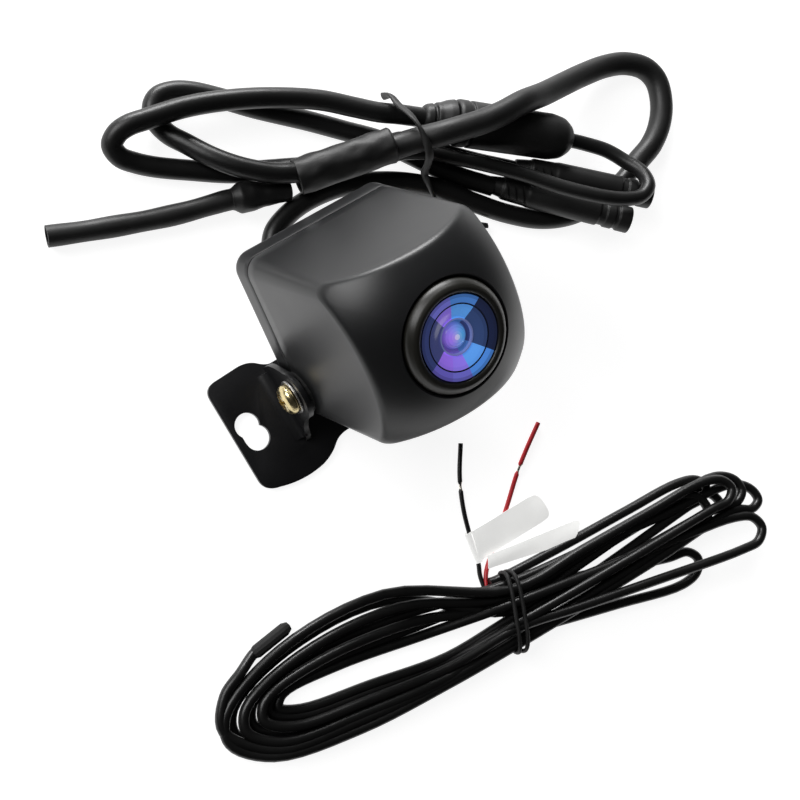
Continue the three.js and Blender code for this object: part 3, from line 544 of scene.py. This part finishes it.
BLACK_WIRE = [
    (-2.6, -53.4, 1.4), (-1.9, -51.0, 0.9), (-1.2, -48.4, 0.5), (-0.2, -46.1, 0.5),
    (1.2, -40.3, 0.5), (2.6, -35.8, 0.5), (5.1, -30.4, 0.5), (8.7, -25, 0.5),
]
RED_WIRE = [
    (-2.0, -51.4, 1.2), (0.2, -48.6, 0.5), (3.0, -46.2, 0.5), (9.9, -40.9, 0.5),
    (16.1, -35.9, 0.5), (20.4, -33.0, 0.5), (25, -30.2, 0.5),
]


def make_wire(name, route, finish, stands_for, gap):
    """An insulated wire with a stripped gap, its bare strands showing, near its end."""
    line = smooth_line(route, 14)

    def radius_at(share):
        return 0.27 if gap[0] < share < gap[1] else 0.45

    points, faces = skin(tube_rings(line, radius_at, 14))
    made = piece(name, points, faces, "base", finish, [stands_for], sharp_deg=50)
    made.data.materials.append(FINISH["bare_copper"])
    total = line_length(line)
    for face in made.data.polygons:
        middle = face.center / MM
        nearest = min(range(len(line)), key=lambda k: (line[k] - middle).length)
        share = line_length(line[: nearest + 1]) / total
        if gap[0] < share < gap[1]:
            face.material_index = 1
    Vector(route[1]) * MM


# ---------- camera head ----------
ARC_STEPS = 8
SIDE_STEPS = 20


def half_at(z):
    return REAR_HALF - TAPER * (z - HEAD_REAR_Z)


@lru_cache(maxsize=None)
def square_spots(z, inset=0.0):
    """Points round the head's rounded square at height z, that far inside its surface."""
    along = min(max((z - HEAD_REAR_Z) / 30, 0), 1)
    corner = max(REAR_CORNER + (FRONT_CORNER - REAR_CORNER) * along - inset * 0.6, 0.8)
    reach = half_at(z) - inset - corner
    centres = [(reach, reach), (-reach, reach), (-reach, -reach), (reach, -reach)]
    arcs = []
    for quarter, (cx, cy) in enumerate(centres):
        turns = [(quarter + k / ARC_STEPS) * math.pi / 2 for k in range(ARC_STEPS + 1)]
        arcs.append([(cx + corner * math.cos(t), cy + corner * math.sin(t)) for t in turns])
    spots = []
    for arc, following in zip(arcs, arcs[1:] + arcs[:1]):
        spots += arc
        (ax, ay), (bx, by) = arc[-1], following[0]
        for k in range(1, SIDE_STEPS):
            t = k / SIDE_STEPS
            spots.append((ax + (bx - ax) * t, ay + (by - ay) * t))
    return [(x, y + HEAD_MID_Y) for x, y in spots]


def dome_z(x, y):
    """Height of the convex front face above a point of the head's section."""
    return FACE_CENTRE_Z + math.sqrt(FACE_RADIUS**2 - x * x - (y - HEAD_MID_Y) ** 2)


def edge_heights():
    """Where each line up the side of the head meets the front face."""
    heights = [30.0] * len(square_spots(0))
    for _ in range(12):
        for k in range(len(heights)):
            heights[k] = dome_z(*square_spots(round(heights[k], 3))[k])
    return heights


def side_point(k, z):
    """Point on the side of the head above outline point k, between two sections."""
    low = math.floor(z * 4) / 4
    t = (z - low) * 4
    (ax, ay), (bx, by) = square_spots(low)[k], square_spots(low + 0.25)[k]
    return Vector((ax + (bx - ax) * t, ay + (by - ay) * t, z))


def hole_point(spot, radius, z):
    away = Vector((spot[0], spot[1] - HEAD_MID_Y)).normalized() * radius
    return Vector((away.x, away.y + HEAD_MID_Y, z))


def make_front_shell():
    edges = edge_heights()
    count = len(edges)
    outline = square_spots(20)
    seat = BEZEL_RADIUS + 0.3
    rings = []

    def flat_ring(z, inset):
        rings.append([(x, y, z) for x, y in square_spots(z, inset)])

    flat_ring(22, WALL)
    flat_ring(SEAM_Z, WALL)
    flat_ring(SEAM_Z, 0.22)
    flat_ring(SEAM_Z + 0.06, 0.07)
    flat_ring(SEAM_Z + 0.22, 0)
    foot = SEAM_Z + 0.22
    for level in range(1, 11):
        share = level / 10
        rings.append([
            side_point(k, foot + (edges[k] - EDGE_ROUND - foot) * share) for k in range(count)
        ])
    for step in range(1, 9):
        t = step / 8
        ring = []
        for k in range(count):
            below = side_point(k, edges[k] - EDGE_ROUND)
            corner = side_point(k, edges[k])
            inward = hole_point(corner, 1, 0) - Vector((0, HEAD_MID_Y, 0))
            over = corner - inward * EDGE_ROUND
            over.z = dome_z(over.x, over.y)
            ring.append((1 - t) ** 2 * below + 2 * t * (1 - t) * corner + t * t * over)
        rings.append(ring)
    last = rings[-1]
    for step in range(1, 11):
        t = step / 10
        ring = []
        for k in range(count):
            goal = hole_point(outline[k], seat + 0.25, 0)
            x = last[k].x + (goal.x - last[k].x) * t
            y = last[k].y + (goal.y - last[k].y) * t
            ring.append(Vector((x, y, dome_z(x, y))))
        rings.append(ring)
    lip = rings[-1][0].z
    lining = [(seat + 0.08, lip - 0.06), (seat, lip - 0.25), (seat, 30.7), (8.3, 30.7), (8.3, 27)]
    for radius, z in lining:
        rings.append([hole_point(spot, radius, z) for spot in outline])
    rings.append(rings[0])
    points, faces = skin(rings, False, False)
    piece("front_housing", points, faces, "head", "shell", ["front_shell"], HEAD_PLACE, 42)


def clear_of_bracket(point):
    """Round the lower rear edge about the tilt axis, so that it swings past the bracket."""
    x, y, z = point
    reach = math.hypot(y, z)
    if y < 0 and z < 0 and reach > SWING_RADIUS:
        return (x, y * SWING_RADIUS / reach, z * SWING_RADIUS / reach)
    return point


def carve(target, others, operation="DIFFERENCE"):
    """Cut other meshes out of a mesh, or join them to it with UNION, and drop them."""
    for other in others:
        modifier = target.modifiers.new("shape", "BOOLEAN")
        modifier.operation = operation
        modifier.solver = "EXACT"
        modifier.object = other
    settle(target)
    for other in others:
        bpy.data.objects.remove(other)


def settle(target):
    """Apply all of a mesh object's modifiers."""
    bpy.context.view_layer.update()
    evaluated = target.evaluated_get(bpy.context.evaluated_depsgraph_get())
    mesh = bpy.data.meshes.new_from_object(evaluated)
    target.modifiers.clear()
    target.data = mesh


def loose(name, points, faces, place=None):
    """A mesh object with no body or finish yet, to cut with, join or dress later."""
    return added(name, solid_mesh(name, points, faces, place))


def box(x0, x1, y0, y1, z0, z1):
    points = [(x, y, z) for z in (z0, z1) for x, y in ((x0, y0), (x1, y0), (x1, y1), (x0, y1))]
    faces = [(0, 3, 2, 1), (4, 5, 6, 7), (0, 1, 5, 4), (1, 2, 6, 5), (2, 3, 7, 6), (3, 0, 4, 7)]
    return points, faces


def eased(target, width, angle_deg=35, steps=3, sharp_deg=38):
    """Round a mesh's sharp edges, and shade it smooth."""
    work = bmesh.new()
    work.from_mesh(target.data)
    bmesh.ops.dissolve_limit(work, angle_limit=math.radians(1.5), verts=work.verts, edges=work.edges)
    edges = [e for e in work.edges if e.is_manifold and e.calc_face_angle(0) > math.radians(angle_deg)]
    bmesh.ops.bevel(work, geom=edges, offset=width * MM, segments=steps, profile=0.5, affect="EDGES",
                    clamp_overlap=True)
    bmesh.ops.recalc_face_normals(work, faces=work.faces)
    work.to_mesh(target.data)
    work.free()
    target.data.shade_smooth()
    target.data.set_sharp_from_angle(angle=math.radians(sharp_deg))


def make_rear_cover():
    rim = SEAM_Z - 0.12
    rings = []
    sections = [(HEAD_REAR_Z, inset) for inset in (8, 5, 3, 1.5)]
    for k in range(7):
        turn = k / 6 * math.pi / 2
        sections.append((HEAD_REAR_Z + 1.5 * (1 - math.cos(turn)), 1.3 * (1 - math.sin(turn))))
    sections += [(-4.2, 0), (-3.4, 0), (-2.2, 0), (rim - 0.22, 0), (rim - 0.06, 0.07), (rim, 0.22)]
    sections += [(rim, WALL), (HEAD_REAR_Z + 2.2, WALL)]
    for z, inset in sections:
        spots = square_spots(z, inset)
        rings.append([clear_of_bracket((x, y, z)) for x, y in spots])
    points, faces = skin(rings)
    cover = piece("rear_housing", points, faces, "head", "shell", ["rear_cover"], HEAD_PLACE, 42)
    cutters = []
    for x, y in COVER_SCREWS:
        profile = [(0, -12), (2.1, -12), (2.1, HEAD_REAR_Z + 1.3), (0, HEAD_REAR_Z + 1.3)]
        cutters.append(loose("cutter", *turned(profile, 32, x, y), HEAD_PLACE))
    carve(cover, cutters)
    cover.data.set_sharp_from_angle(angle=math.radians(42))
    raised = box(-14.2, 14.2, 0.4, 10.9, HEAD_REAR_Z - 0.7, HEAD_REAR_Z + 0.3)
    pad = loose("rear_pad", *raised, HEAD_PLACE)
    eased(pad, 0.3)
    pad.data.materials.append(FINISH["shell"])
    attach(pad, "head")


def make_bezel():
    profile = [
        (8.0, 31.6), (BEZEL_RADIUS, 31.6), (BEZEL_RADIUS, 32.6), (8.75, 33.2), (8.2, 33.85),
        (7.7, 34.12), (7.3, 34.1), (6.95, 33.85), (6.95, 33.2), (6.72, 33.1), (6.72, 31.4), (8.0, 31.4),
    ]
    smooth = softened(profile, 0.35, 5)
    points, faces = turned(smooth, 128, 0, HEAD_MID_Y, loop=True)
    piece("bezel_ring", points, faces, "head", "bezel", ["lens_bezel"], HEAD_PLACE, 50)


# sectors of the painted reflection on the coated lens, by angle round the lens: start, end, band colours
PAINTED_REFLECTION_SECTORS = [
    (38, 84, (0.11, 0.36, 0.86), (0.07, 0.22, 0.62)),
    (84, 120, (0.27, 0.16, 0.75), (0.16, 0.16, 0.60)),
    (120, 200, (0.055, 0.065, 0.20), (0.035, 0.05, 0.17)),
    (200, 236, (0.33, 0.17, 0.86), (0.13, 0.11, 0.50)),
    (236, 268, (0.30, 0.20, 0.90), (0.15, 0.14, 0.58)),
    (268, 314, (0.12, 0.38, 0.95), (0.08, 0.27, 0.78)),
    (314, 398, (0.035, 0.065, 0.18), (0.012, 0.018, 0.055)),
]


def mix(a, b, t):
    return tuple(x + (y - x) * t for x, y in zip(a, b))


FIRST_SECTOR = PAINTED_REFLECTION_SECTORS[0][0]
SHADED_GROOVE = (5.12, 5.36)
HIGHLIT_STEP = (2.66, 2.96)


def painted_reflection_colour(angle, radius):
    """Painted reflection colour of the coated lens by angle in degrees and radius in millimetres."""
    angle = (angle - FIRST_SECTOR) % 360 + FIRST_SECTOR
    inner = outer = None
    for start, end, near, far in PAINTED_REFLECTION_SECTORS:
        if start <= angle < end:
            inner, outer = near, far
    # darker towards the rim: painted shade
    if radius > 5.35:
        base = mix(outer, (0.01, 0.012, 0.03), max(0, (radius - 6.2) / 0.8))
    elif radius > 2.95:
        base = mix(inner, outer, max(0, (radius - 4.2) / 2.4))
    elif radius > 2.2:
        base = mix((0.03, 0.035, 0.14), inner, 0.35)
    else:
        # at the centre: a painted glow in violet and sky blue, darkening outward, and a white painted
        # highlight in the middle
        glow = 0.5 + 0.5 * math.cos(math.radians(angle - 100))
        violet, sky = (0.36, 0.20, 0.92), (0.10, 0.42, 0.88)
        base = mix(violet, sky, 0.5 + 0.5 * math.cos(math.radians(angle - 350)))
        base = mix(base, (0.03, 0.03, 0.16), max(0, (radius - 1.3) / 0.9) * (1 - 0.5 * glow))
        base = mix((0.86, 0.80, 1.0), base, min(1, radius / 0.75))
    return base


def make_lens():
    """A coated lens seen through a clear domed front glass; the lens carries painted reflections and a
    painted glow.
    """
    # the coated lens glows at 0.62 in its own colours: painted light where the lamps leave it dark
    shade = glowing(painted("lens_painted_reflection", "reflection_paint", 0.12, coat=1.0), 0.62)
    profile = [
        (6.7, 33.75), (6.2, 33.7), (5.7, 33.6), (5.36, 33.5), (5.34, 33.3), (5.14, 33.3), (5.12, 33.45),
        (4.6, 33.3), (4.0, 33.05), (3.4, 32.8), (3.0, 32.65), (2.94, 32.85), (2.7, 32.85), (2.64, 32.35),
        (2.5, 31.95), (2.2, 31.85), (2.1, 31.95), (2.0, 32.2), (1.8, 32.45), (1.4, 32.7), (0.9, 32.88),
        (0.45, 32.96), (0, 32.98),
    ]
    segments = 180
    points, faces = turned(profile, segments, 0, HEAD_MID_Y)
    reflection_paint = piece("painted_reflection_lens", points, faces[:-2], "head", shade, (), HEAD_PLACE, 25)
    layer = reflection_paint.data.color_attributes.new("reflection_paint", "FLOAT_COLOR", "CORNER")
    unplace = HEAD_PLACE.inverted()
    for face in reflection_paint.data.polygons:
        middle = unplace @ (face.center / MM)
        radius = math.hypot(middle.x, middle.y - HEAD_MID_Y)
        angle = math.degrees(math.atan2(middle.y - HEAD_MID_Y, middle.x))
        tint = painted_reflection_colour(angle, radius)
        # the groove is painted near black as painted shade, and the step is painted lighter as a painted
        # highlight
        if SHADED_GROOVE[0] < radius < SHADED_GROOVE[1]:
            tint = (0.004, 0.005, 0.012)
        elif HIGHLIT_STEP[0] < radius < HIGHLIT_STEP[1]:
            tint = mix(tint, (0.22, 0.26, 0.55), 0.6)
        for loop in face.loop_indices:
            layer.data[loop].color = (*tint, 1)
    dome = [
        (6.72, 33.6), (6.72, 33.85), (5.9, 34.1), (5.0, 34.35), (4.0, 34.6), (3.0, 34.8),
        (2.0, 34.97), (1.0, 35.07), (0, 35.1),
    ]
    points, faces = turned(dome, 96, 0, HEAD_MID_Y)
    del faces[-2]
    clear = glass_material("front_glass", (0.02, 0.03, 0.08), 0.10)
    glass = piece("front_glass", points, faces, "head", clear, ["front_lens"], HEAD_PLACE, 50)


# ---------- bracket ----------
def curve_points(start, *parts):
    """Points along straight and quadratic parts: each part is an end, or a control point and an end."""
    out = [Vector(start)]
    for part in parts:
        a = out[-1]
        if len(part) == 1:
            out.append(Vector(part[0]))
            continue
        control, end = Vector(part[0]), Vector(part[1])
        for k in range(1, 11):
            t = k / 10
            out.append((1 - t) ** 2 * a + 2 * t * (1 - t) * control + t * t * end)
    return out


def prism(name, outline, z0, z1, place=None):
    rings = [[(p[0], p[1], z) for p in outline] for z in (z0, z1)]
    return loose(name, *skin(rings), place)


def wing_outline(side):
    tip = WING_TIP_X
    half = curve_points(
        (0, 6.6), ((15.4, 6.6),), ((16.4, 6.6), (17.6, 7.6)), ((19.0, 9.0), (21.2, 9.0)), ((26.0, 8.8),),
        ((tip, 8.7), (tip, 6.4)), ((tip, -10.2),), ((tip, -12.6), (25.8, -13.2)),
        ((21.2, -14.8), (16.6, -14.0)), ((14.2, -13.4), (12.6, -12.0)), ((11.4, -11.0), (9.4, -11.0)),
        ((0, -11.0),),
    )
    return [(side * p.x, p.y) for p in half]


def ear_outline():
    """Side view of an ear as (height, y)."""
    top = AXIS_HEIGHT
    rise = curve_points((0, 6.6), ((4.2, 6.6),), ((top - 2.2, 6.2), (top + 1.4, EAR_NOSE_RADIUS - 0.3)))
    nose = []
    for k in range(25):
        turn = math.radians(72 - 162 * k / 24)
        nose.append((top + EAR_NOSE_RADIUS * math.cos(turn), EAR_NOSE_RADIUS * math.sin(turn)))
    fall = curve_points(nose[-1], ((4.4, -EAR_NOSE_RADIUS - 0.4), (SHEET + 1.6, -8.0)), ((0, -9.4),))
    return [tuple(p) for p in rise] + nose + [tuple(p) for p in fall[1:]]


def bend_outline(side):
    """Cross-section of the rounded bend between wing and ear, as (x, height)."""
    x0, x1 = EAR_OUTER_X - 0.3, EAR_OUTER_X + 2.0
    bend = curve_points((x1, SHEET), ((EAR_OUTER_X + 0.25, SHEET + 0.25), (EAR_OUTER_X, SHEET + 2.0)))
    shape = [(x0, SHEET - 0.3), (x1, SHEET - 0.3)] + [tuple(p) for p in bend] + [(x0, SHEET + 2.0)]
    return [(side * x, z) for x, z in shape]


def make_bracket():
    base = None
    extra = []
    for side in (-1, 1):
        wing = prism("wing", wing_outline(side), 0, SHEET)
        upright = Matrix(((0, 0, 1, 0), (0, 1, 0, 0), (1, 0, 0, 0), (0, 0, 0, 1)))
        x0 = EAR_OUTER_X - SHEET if side > 0 else -EAR_OUTER_X
        ear = prism("ear", ear_outline(), x0, x0 + SHEET, upright)
        lying = Matrix(((1, 0, 0, 0), (0, 0, 1, 0), (0, 1, 0, 0), (0, 0, 0, 1)))
        bend = prism("bend", bend_outline(side), -7.8, 5.6, lying)
        base = base or wing
        extra += [ear, bend] + ([wing] if wing is not base else [])
    carve(base, extra, "UNION")
    cutters = []
    for side in (-1, 1):
        for x, y in ((SLOT_X + 0.35, SLOT_TOP_Y), (SLOT_X - 0.15, SLOT_BOTTOM_Y)):
            hole = [(0, -1), (SLOT_RADIUS, -1), (SLOT_RADIUS, 3), (0, 3)]
            cutters.append(loose("cutter", *turned(hole, 48, side * x, y)))
        x0, x1 = sorted((side * (SLOT_X - 0.6), side * (SLOT_X + 2.2)))
        cutters.append(loose("cutter", *box(x0, x1, SLOT_BOTTOM_Y, SLOT_TOP_Y, -1, 3)))
    carve(base, cutters)
    eased(base, 0.16, 32, 3)
    base.name = "steel_bracket"
    base.data.materials.append(FINISH["bracket_paint"])
    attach(base, "base")
    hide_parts("mounting_bracket")


# ---------- tilt hardware ----------
def make_clamp_screws():
    x = EAR_OUTER_X
    r = 2.75
    profile = [
        (0, 11.4), (1.1, 11.4), (1.5, 11.9), (1.5, x + 0.6), (r, x + 0.6), (r, x + 1.4),
        (r - 0.35, x + 1.95), (r - 1.1, x + 2.35), (0, x + 2.45),
    ]
    washer = [(1.75, x + 0.1), (3.2, x + 0.1), (3.2, x + 0.5), (1.75, x + 0.5)]
    for side, name in ((-1, "left"), (1, "right")):
        place = about_x(side)
        body = "clamp_screw_" + name
        screw = piece("pan_screw_" + name, *turned(softened(profile, 0.3), 64), body, "yellow_zinc",
                      [body], place, 40)
        recess = [(0, x + 1.0), (0.9, x + 1.7), (1.05, x + 4), (0, x + 4)]
        cutters = [
            loose("cutter", *box(-1.6, 1.6, -0.32, 0.32, x + 1.3, x + 4), place),
            loose("cutter", *box(-0.32, 0.32, -1.6, 1.6, x + 1.3, x + 4), place),
            loose("cutter", *turned(recess, 24), place),
        ]
        carve(screw, cutters)
        screw.data.set_sharp_from_angle(angle=math.radians(35))
        ring = turned(softened(washer + washer[:1], 0.08), 64, loop=True)
        piece("washer_" + name, *ring, "base", "steel", ["flat_washer_" + name], place, 40)


# ---------- harness fittings ----------
def make_fitting(name, profile, start, end, finish, stands_for, segments=56, lumps=0.0, seed=0,
                 rounding=0.35):
    """A round fitting between two points, with the slight unevenness of shrink sleeving if asked."""
    points, faces = turned(softened(profile, rounding), segments)
    if lumps:
        shift = Vector((seed * 7.1, seed * 3.3, 0))
        moved = []
        for x, y, z in points:
            push = 1 + lumps * noise.noise(Vector((x * 0.5, y * 0.5, z * 0.35)) + shift)
            moved.append((x * push, y * push, z))
        points = moved
    return piece(name, points, faces, "base", finish, stands_for, toward(start, end), 50)


JUNCTION = ((4.6, 32.9, 5.2), (22.8, 29.7, 8.8))
MODULE = ((32, 31.6, 6.2), (57.8, 14.4, 6.5))
UPPER_SOCKET = ((46.1, 15.3, 2.8), (66.8, -3, 8.3))
LOWER_SOCKET = ((39, 15.2, 2.8), (59.6, -4.9, 8.6))
COLLAR = ((-7.3, 35.1, 2.95), (3.6, 31.5, 3.3))


def span(ends):
    return (Vector(ends[1]) - Vector(ends[0])).length


def stretched(profile, per_mm=1.5):
    """A profile with extra stations, so that sleeving can be uneven along its length."""
    out = [profile[0]]
    for a, b in zip(profile, profile[1:]):
        steps = max(1, int(math.dist(a, b) * per_mm))
        for k in range(1, steps + 1):
            t = k / steps
            out.append((a[0] + (b[0] - a[0]) * t, a[1] + (b[1] - a[1]) * t))
    return out


def make_fittings():
    long = span(JUNCTION)
    profile = stretched([(0, 0.9), (2.6, 0.9), (2.75, 0), (3.3, 0.1), (3.3, 1.2), (3.2, long / 2),
                         (3.3, long - 0.4), (2.9, long), (0, long)])
    make_fitting("junction_sleeving", profile, *JUNCTION, "cable_sleeve", ["junction_sleeve"],
                 lumps=0.07, seed=1)
    collar = stretched([(0, 0), (1.9, 0), (2.0, 0.4), (2.75, 1.6), (2.75, 3.9), (2.2, 5.8), (1.95, 11),
                        (0, 11)])
    make_fitting("collar_sleeving", collar, *COLLAR, "cable_sleeve", ["antenna_collar"],
                 lumps=0.06, seed=2)
    long, r = span(MODULE), 4.4
    body = [(0, 6.2), (r - 0.4, 6.2), (r, 6.8), (r, 8.6), (r - 0.35, 8.7), (r - 0.35, 9.3), (r, 9.4),
            (r, long - 4.6), (r - 0.5, long - 2.2), (r - 1.6, long - 0.7), (r - 2.6, long), (0, long)]
    module = make_fitting("module_body", body, *MODULE, "connector", ["signal_module"], 64, rounding=0.6)
    dimple = loose("cutter", *box(-0.45, 0.45, r - 0.5, r + 1, long - 6.4, long - 4.6), toward(*MODULE)
                   @ Matrix.Rotation(math.radians(-60), 4, "Z"))
    carve(module, [dimple])
    module.data.set_sharp_from_angle(angle=math.radians(40))
    cap = [(0, 0), (2.2, 0), (2.6, 0.5), (2.9, 1.6), (2.5, 1.7), (2.5, 2.2), (3.1, 2.3), (3.3, 3.2),
           (r - 0.5, 4.6), (r - 0.2, 5.9), (0, 5.9)]
    make_fitting("module_end", cap, *MODULE, "connector", ["module_cap"], 56, rounding=0.25)
    for name, ends in (("upper_socket", UPPER_SOCKET), ("lower_socket", LOWER_SOCKET)):
        make_socket(name, ends)


def make_socket(name, ends):
    """An in-line socket: tapered boot, grip with slanted slits, smooth body, step and open mouth."""
    long, r = span(ends), 2.6
    profile = [(0, 0), (1.5, 0), (1.75, 1.6), (1.95, 3.0), (r - 0.3, 3.4), (r - 0.15, 8.0), (r, 8.6),
               (r, long - 6.6), (r - 0.3, long - 6.3), (r - 0.3, long - 5.2), (r - 0.05, long - 5.0),
               (r - 0.05, long - 3.4), (r - 0.3, long - 3.2), (r - 0.3, long - 2.6), (r, long - 2.4),
               (r, long), (r - 0.7, long), (r - 0.7, long - 5), (0, long - 5)]
    made = make_fitting(name + "_body", profile, *ends, "connector", [name], 56, rounding=0.25)
    cutters = []
    for k in range(3):
        for turn in range(3):
            place = toward(*ends) @ Matrix.Rotation(turn * 2 * math.pi / 3 + 0.5, 4, "Z")
            place = place @ Matrix.Translation((0, r, 4.3 + 1.55 * k)) @ Matrix.Rotation(0.35, 4, "Y")
            cutters.append(loose("cutter", *box(-1.9, 1.9, -0.75, 1, -0.22, 0.22), place))
    carve(made, cutters)
    made.data.set_sharp_from_angle(angle=math.radians(40))


def flat_band(name, route, width, thickness, finish, stands_for, twist=lambda share: 0.0, per_span=8):
    """A flat strip with rounded edges along a route; twist turns its section as it goes."""
    line = smooth_line(route, per_span)
    rings = []
    for k, (spot, ahead, normal) in enumerate(carried(line)):
        other = ahead.cross(normal)
        angle = twist(k / (len(line) - 1))
        u = normal * math.cos(angle) + other * math.sin(angle)
        v = ahead.cross(u)
        ring = []
        for j in range(14):
            t = 2 * math.pi * j / 14
            ring.append(spot + u * math.cos(t) * width / 2 + v * math.sin(t) * thickness / 2)
        rings.append(ring)
    return piece(name, *skin(rings), "base", finish, stands_for, sharp_deg=70)


BUNDLE_TIE = [
    (28, 38.6, 4.2), (27.8, 37.6, 7.6), (27.3, 35.4, 9.5), (26.8, 32.6, 12.6), (26.6, 30.4, 13.9),
    (26.5, 28, 13.9), (26.5, 24.9, 12.5), (26.8, 23.6, 9.4), (27, 22.4, 5.8), (27, 20.4, 5),
    (27.8, 16.6, 3), (29.2, 14.2, 1.2), (32.4, 10.2, 1), (35.6, 8, 1.4),
]


def make_ties():
    flat_band("bundle_twist_tie", BUNDLE_TIE, 1.5, 0.75, "twist_tie", ["bundle_tie"],
              twist=lambda share: 0.8 + 1.2 * math.sin(share * 9))
    across = Vector((TIE_BOTTOM.x - TIE_TOP.x, TIE_BOTTOM.y - TIE_TOP.y)).normalized()
    along = Vector((-across.y, across.x))
    middle = (TIE_TOP + TIE_BOTTOM) / 2
    reach = (TIE_BOTTOM - TIE_TOP).length / 2 + 1.1
    for strand, shift in ((0, -0.55), (1, 0.55)):
        route = []
        for k in range(17):
            turn = 2 * math.pi * k / 16 + math.pi / 2
            flat = math.copysign(abs(math.cos(turn)) ** 0.55, math.cos(turn)) * reach
            height = 3.35 + math.copysign(abs(math.sin(turn)) ** 0.7, math.sin(turn)) * 3.0
            lean = shift + 0.5 * math.sin(turn) * (1 if strand else -0.4)
            spot = middle + across * flat + along * lean
            route.append((spot.x, spot.y, height))
        stands_for = ["hank_tie"] if strand == 0 else []
        flat_band(f"hank_band_{strand + 1}", route, 0.8, 0.9, "twist_tie", stands_for)


# ---------- labels ----------
def make_label(name, corners, height, stands_for, lift, fold):
    """A film flag: a grid over four corners, folded round its wire on one side and gently bowed."""
    a, b, c, d = [Vector(p) for p in corners]
    columns, rows = 26, 14
    top, bottom = [], []
    for j in range(rows + 1):
        v = j / rows
        for i in range(columns + 1):
            u = i / columns
            spot = a.lerp(b, u).lerp(d.lerp(c, u), v)
            round_off = 0.9 * max(0, u - 0.86) / 0.14 * (2 * abs(v - 0.5)) ** 4
            spot = spot.lerp(a.lerp(d, 0.5), 0.06 * round_off)
            bow = lift * math.sin(math.pi * v) * (0.4 + 0.6 * u) + 0.12 * math.sin(5 * u + 3 * v)
            wrap = fold * max(0, 1 - u / 0.09)
            z = height + bow + wrap * math.sin(math.pi * min(1, u / 0.09 + 0.2))
            top.append((spot.x, spot.y, z + 0.09))
            bottom.append((spot.x, spot.y, z - 0.09))
    points = top + bottom
    faces = []
    wide = columns + 1
    offset = len(top)
    for j in range(rows):
        for i in range(columns):
            k = j * wide + i
            faces.append((k, k + 1, k + wide + 1, k + wide))
            faces.append((offset + k, offset + k + wide, offset + k + wide + 1, offset + k + 1))
    border = list(range(columns)) + [columns + wide * j for j in range(rows)]
    border += [rows * wide + i for i in range(columns, 0, -1)] + [wide * j for j in range(rows, 0, -1)]
    for k, following in zip(border, border[1:] + border[:1]):
        faces.append((k, k + offset, following + offset, following))
    return piece(name, points, faces, "base", "label_film", stands_for, sharp_deg=60)


def make_labels():
    make_label("black_wire_flag", [(1.4, -40.2), (17.2, -41.3), (17.4, -46.9), (-0.2, -45.9)], 1.2,
               ["black_wire_label"], 0.25, 0.2)
    make_label("red_wire_flag", [(1.5, -45.6), (22.5, -50.5), (18.7, -53.5), (0.4, -47.8)], 1.9,
               ["red_wire_label"], 0.3, 0.2)
    start, end = (0.7, -40.1, 0.78), (-0.1, -46.1, 0.8)
    fold = [(0.5, 0), (0.74, 0), (0.74, span((start, end))), (0.5, span((start, end))), (0.5, 0)]
    piece("black_wire_fold", *turned(fold, 32, loop=True), "base", "label_film", (), toward(start, end))


make_front_shell()
make_rear_cover()
make_bezel()
make_lens()
make_bracket()
make_clamp_screws()
make_fittings()
make_ties()
make_labels()
make_harness_cords()
make_antenna()
make_hank()
make_wire("black_wire_strand", BLACK_WIRE, "black_insulation", "black_wire", (0.715, 0.76))
make_wire("red_wire_strand", RED_WIRE, "red_insulation", "red_wire", (0.68, 0.735))


# ---------- everything the frame still shows ----------
SLOT_OF = {row["node"]: row["material_slot"] for row in frame["record"]["subparts"]}
for node_name, node in nodes.items():
    if not node.hide_render:
        node.data.materials.clear()
        node.data.materials.append(FINISH[SLOT_OF[node_name]])
        node.data.shade_smooth()
        node.data.set_sharp_from_angle(angle=math.radians(35))


# ---------- floor and light ----------
def make_stage():
    points = [(-6, -6, 0), (6, -6, 0), (6, 6, 0), (-6, 6, 0)]
    mesh = bpy.data.meshes.new("floor")
    mesh.from_pydata([Vector(p) - Vector((0, 0, 0.00002)) for p in points], [], [(0, 1, 2, 3)])
    floor = added("floor", mesh)
    mesh.materials.append(glowing(surface("floor", (0.35, 0.35, 0.35), 0.8, mottle=0.005, mottle_mm=60),
                                  0.9, (1, 1, 1)))


def area_light(name, place, target, size, power):
    data = bpy.data.lights.new(name, "AREA")
    data.shape = "RECTANGLE"
    data.size, data.size_y = size
    data.energy = power
    light = added(name, data)
    light.location = place
    direction = Vector(target) - Vector(place)
    light.rotation_euler = direction.to_track_quat("-Z", "Y").to_euler()


def make_light():
    world = bpy.data.worlds.new("studio")
    world.use_nodes = True
    world.node_tree.nodes["Background"].inputs["Color"].default_value = (1, 1, 1, 1)
    world.node_tree.nodes["Background"].inputs["Strength"].default_value = 0.035
    scene.world = world
    area_light("back_box", (0.25, 0.70, 0.22), (0, 0, 0.01), (0.5, 0.22), 7)
    area_light("top_box", (-0.45, 0.60, 0.60), (0, 0, 0), (0.5, 0.5), 5)
    scene.view_settings.view_transform = "Standard"


make_stage()
make_light()
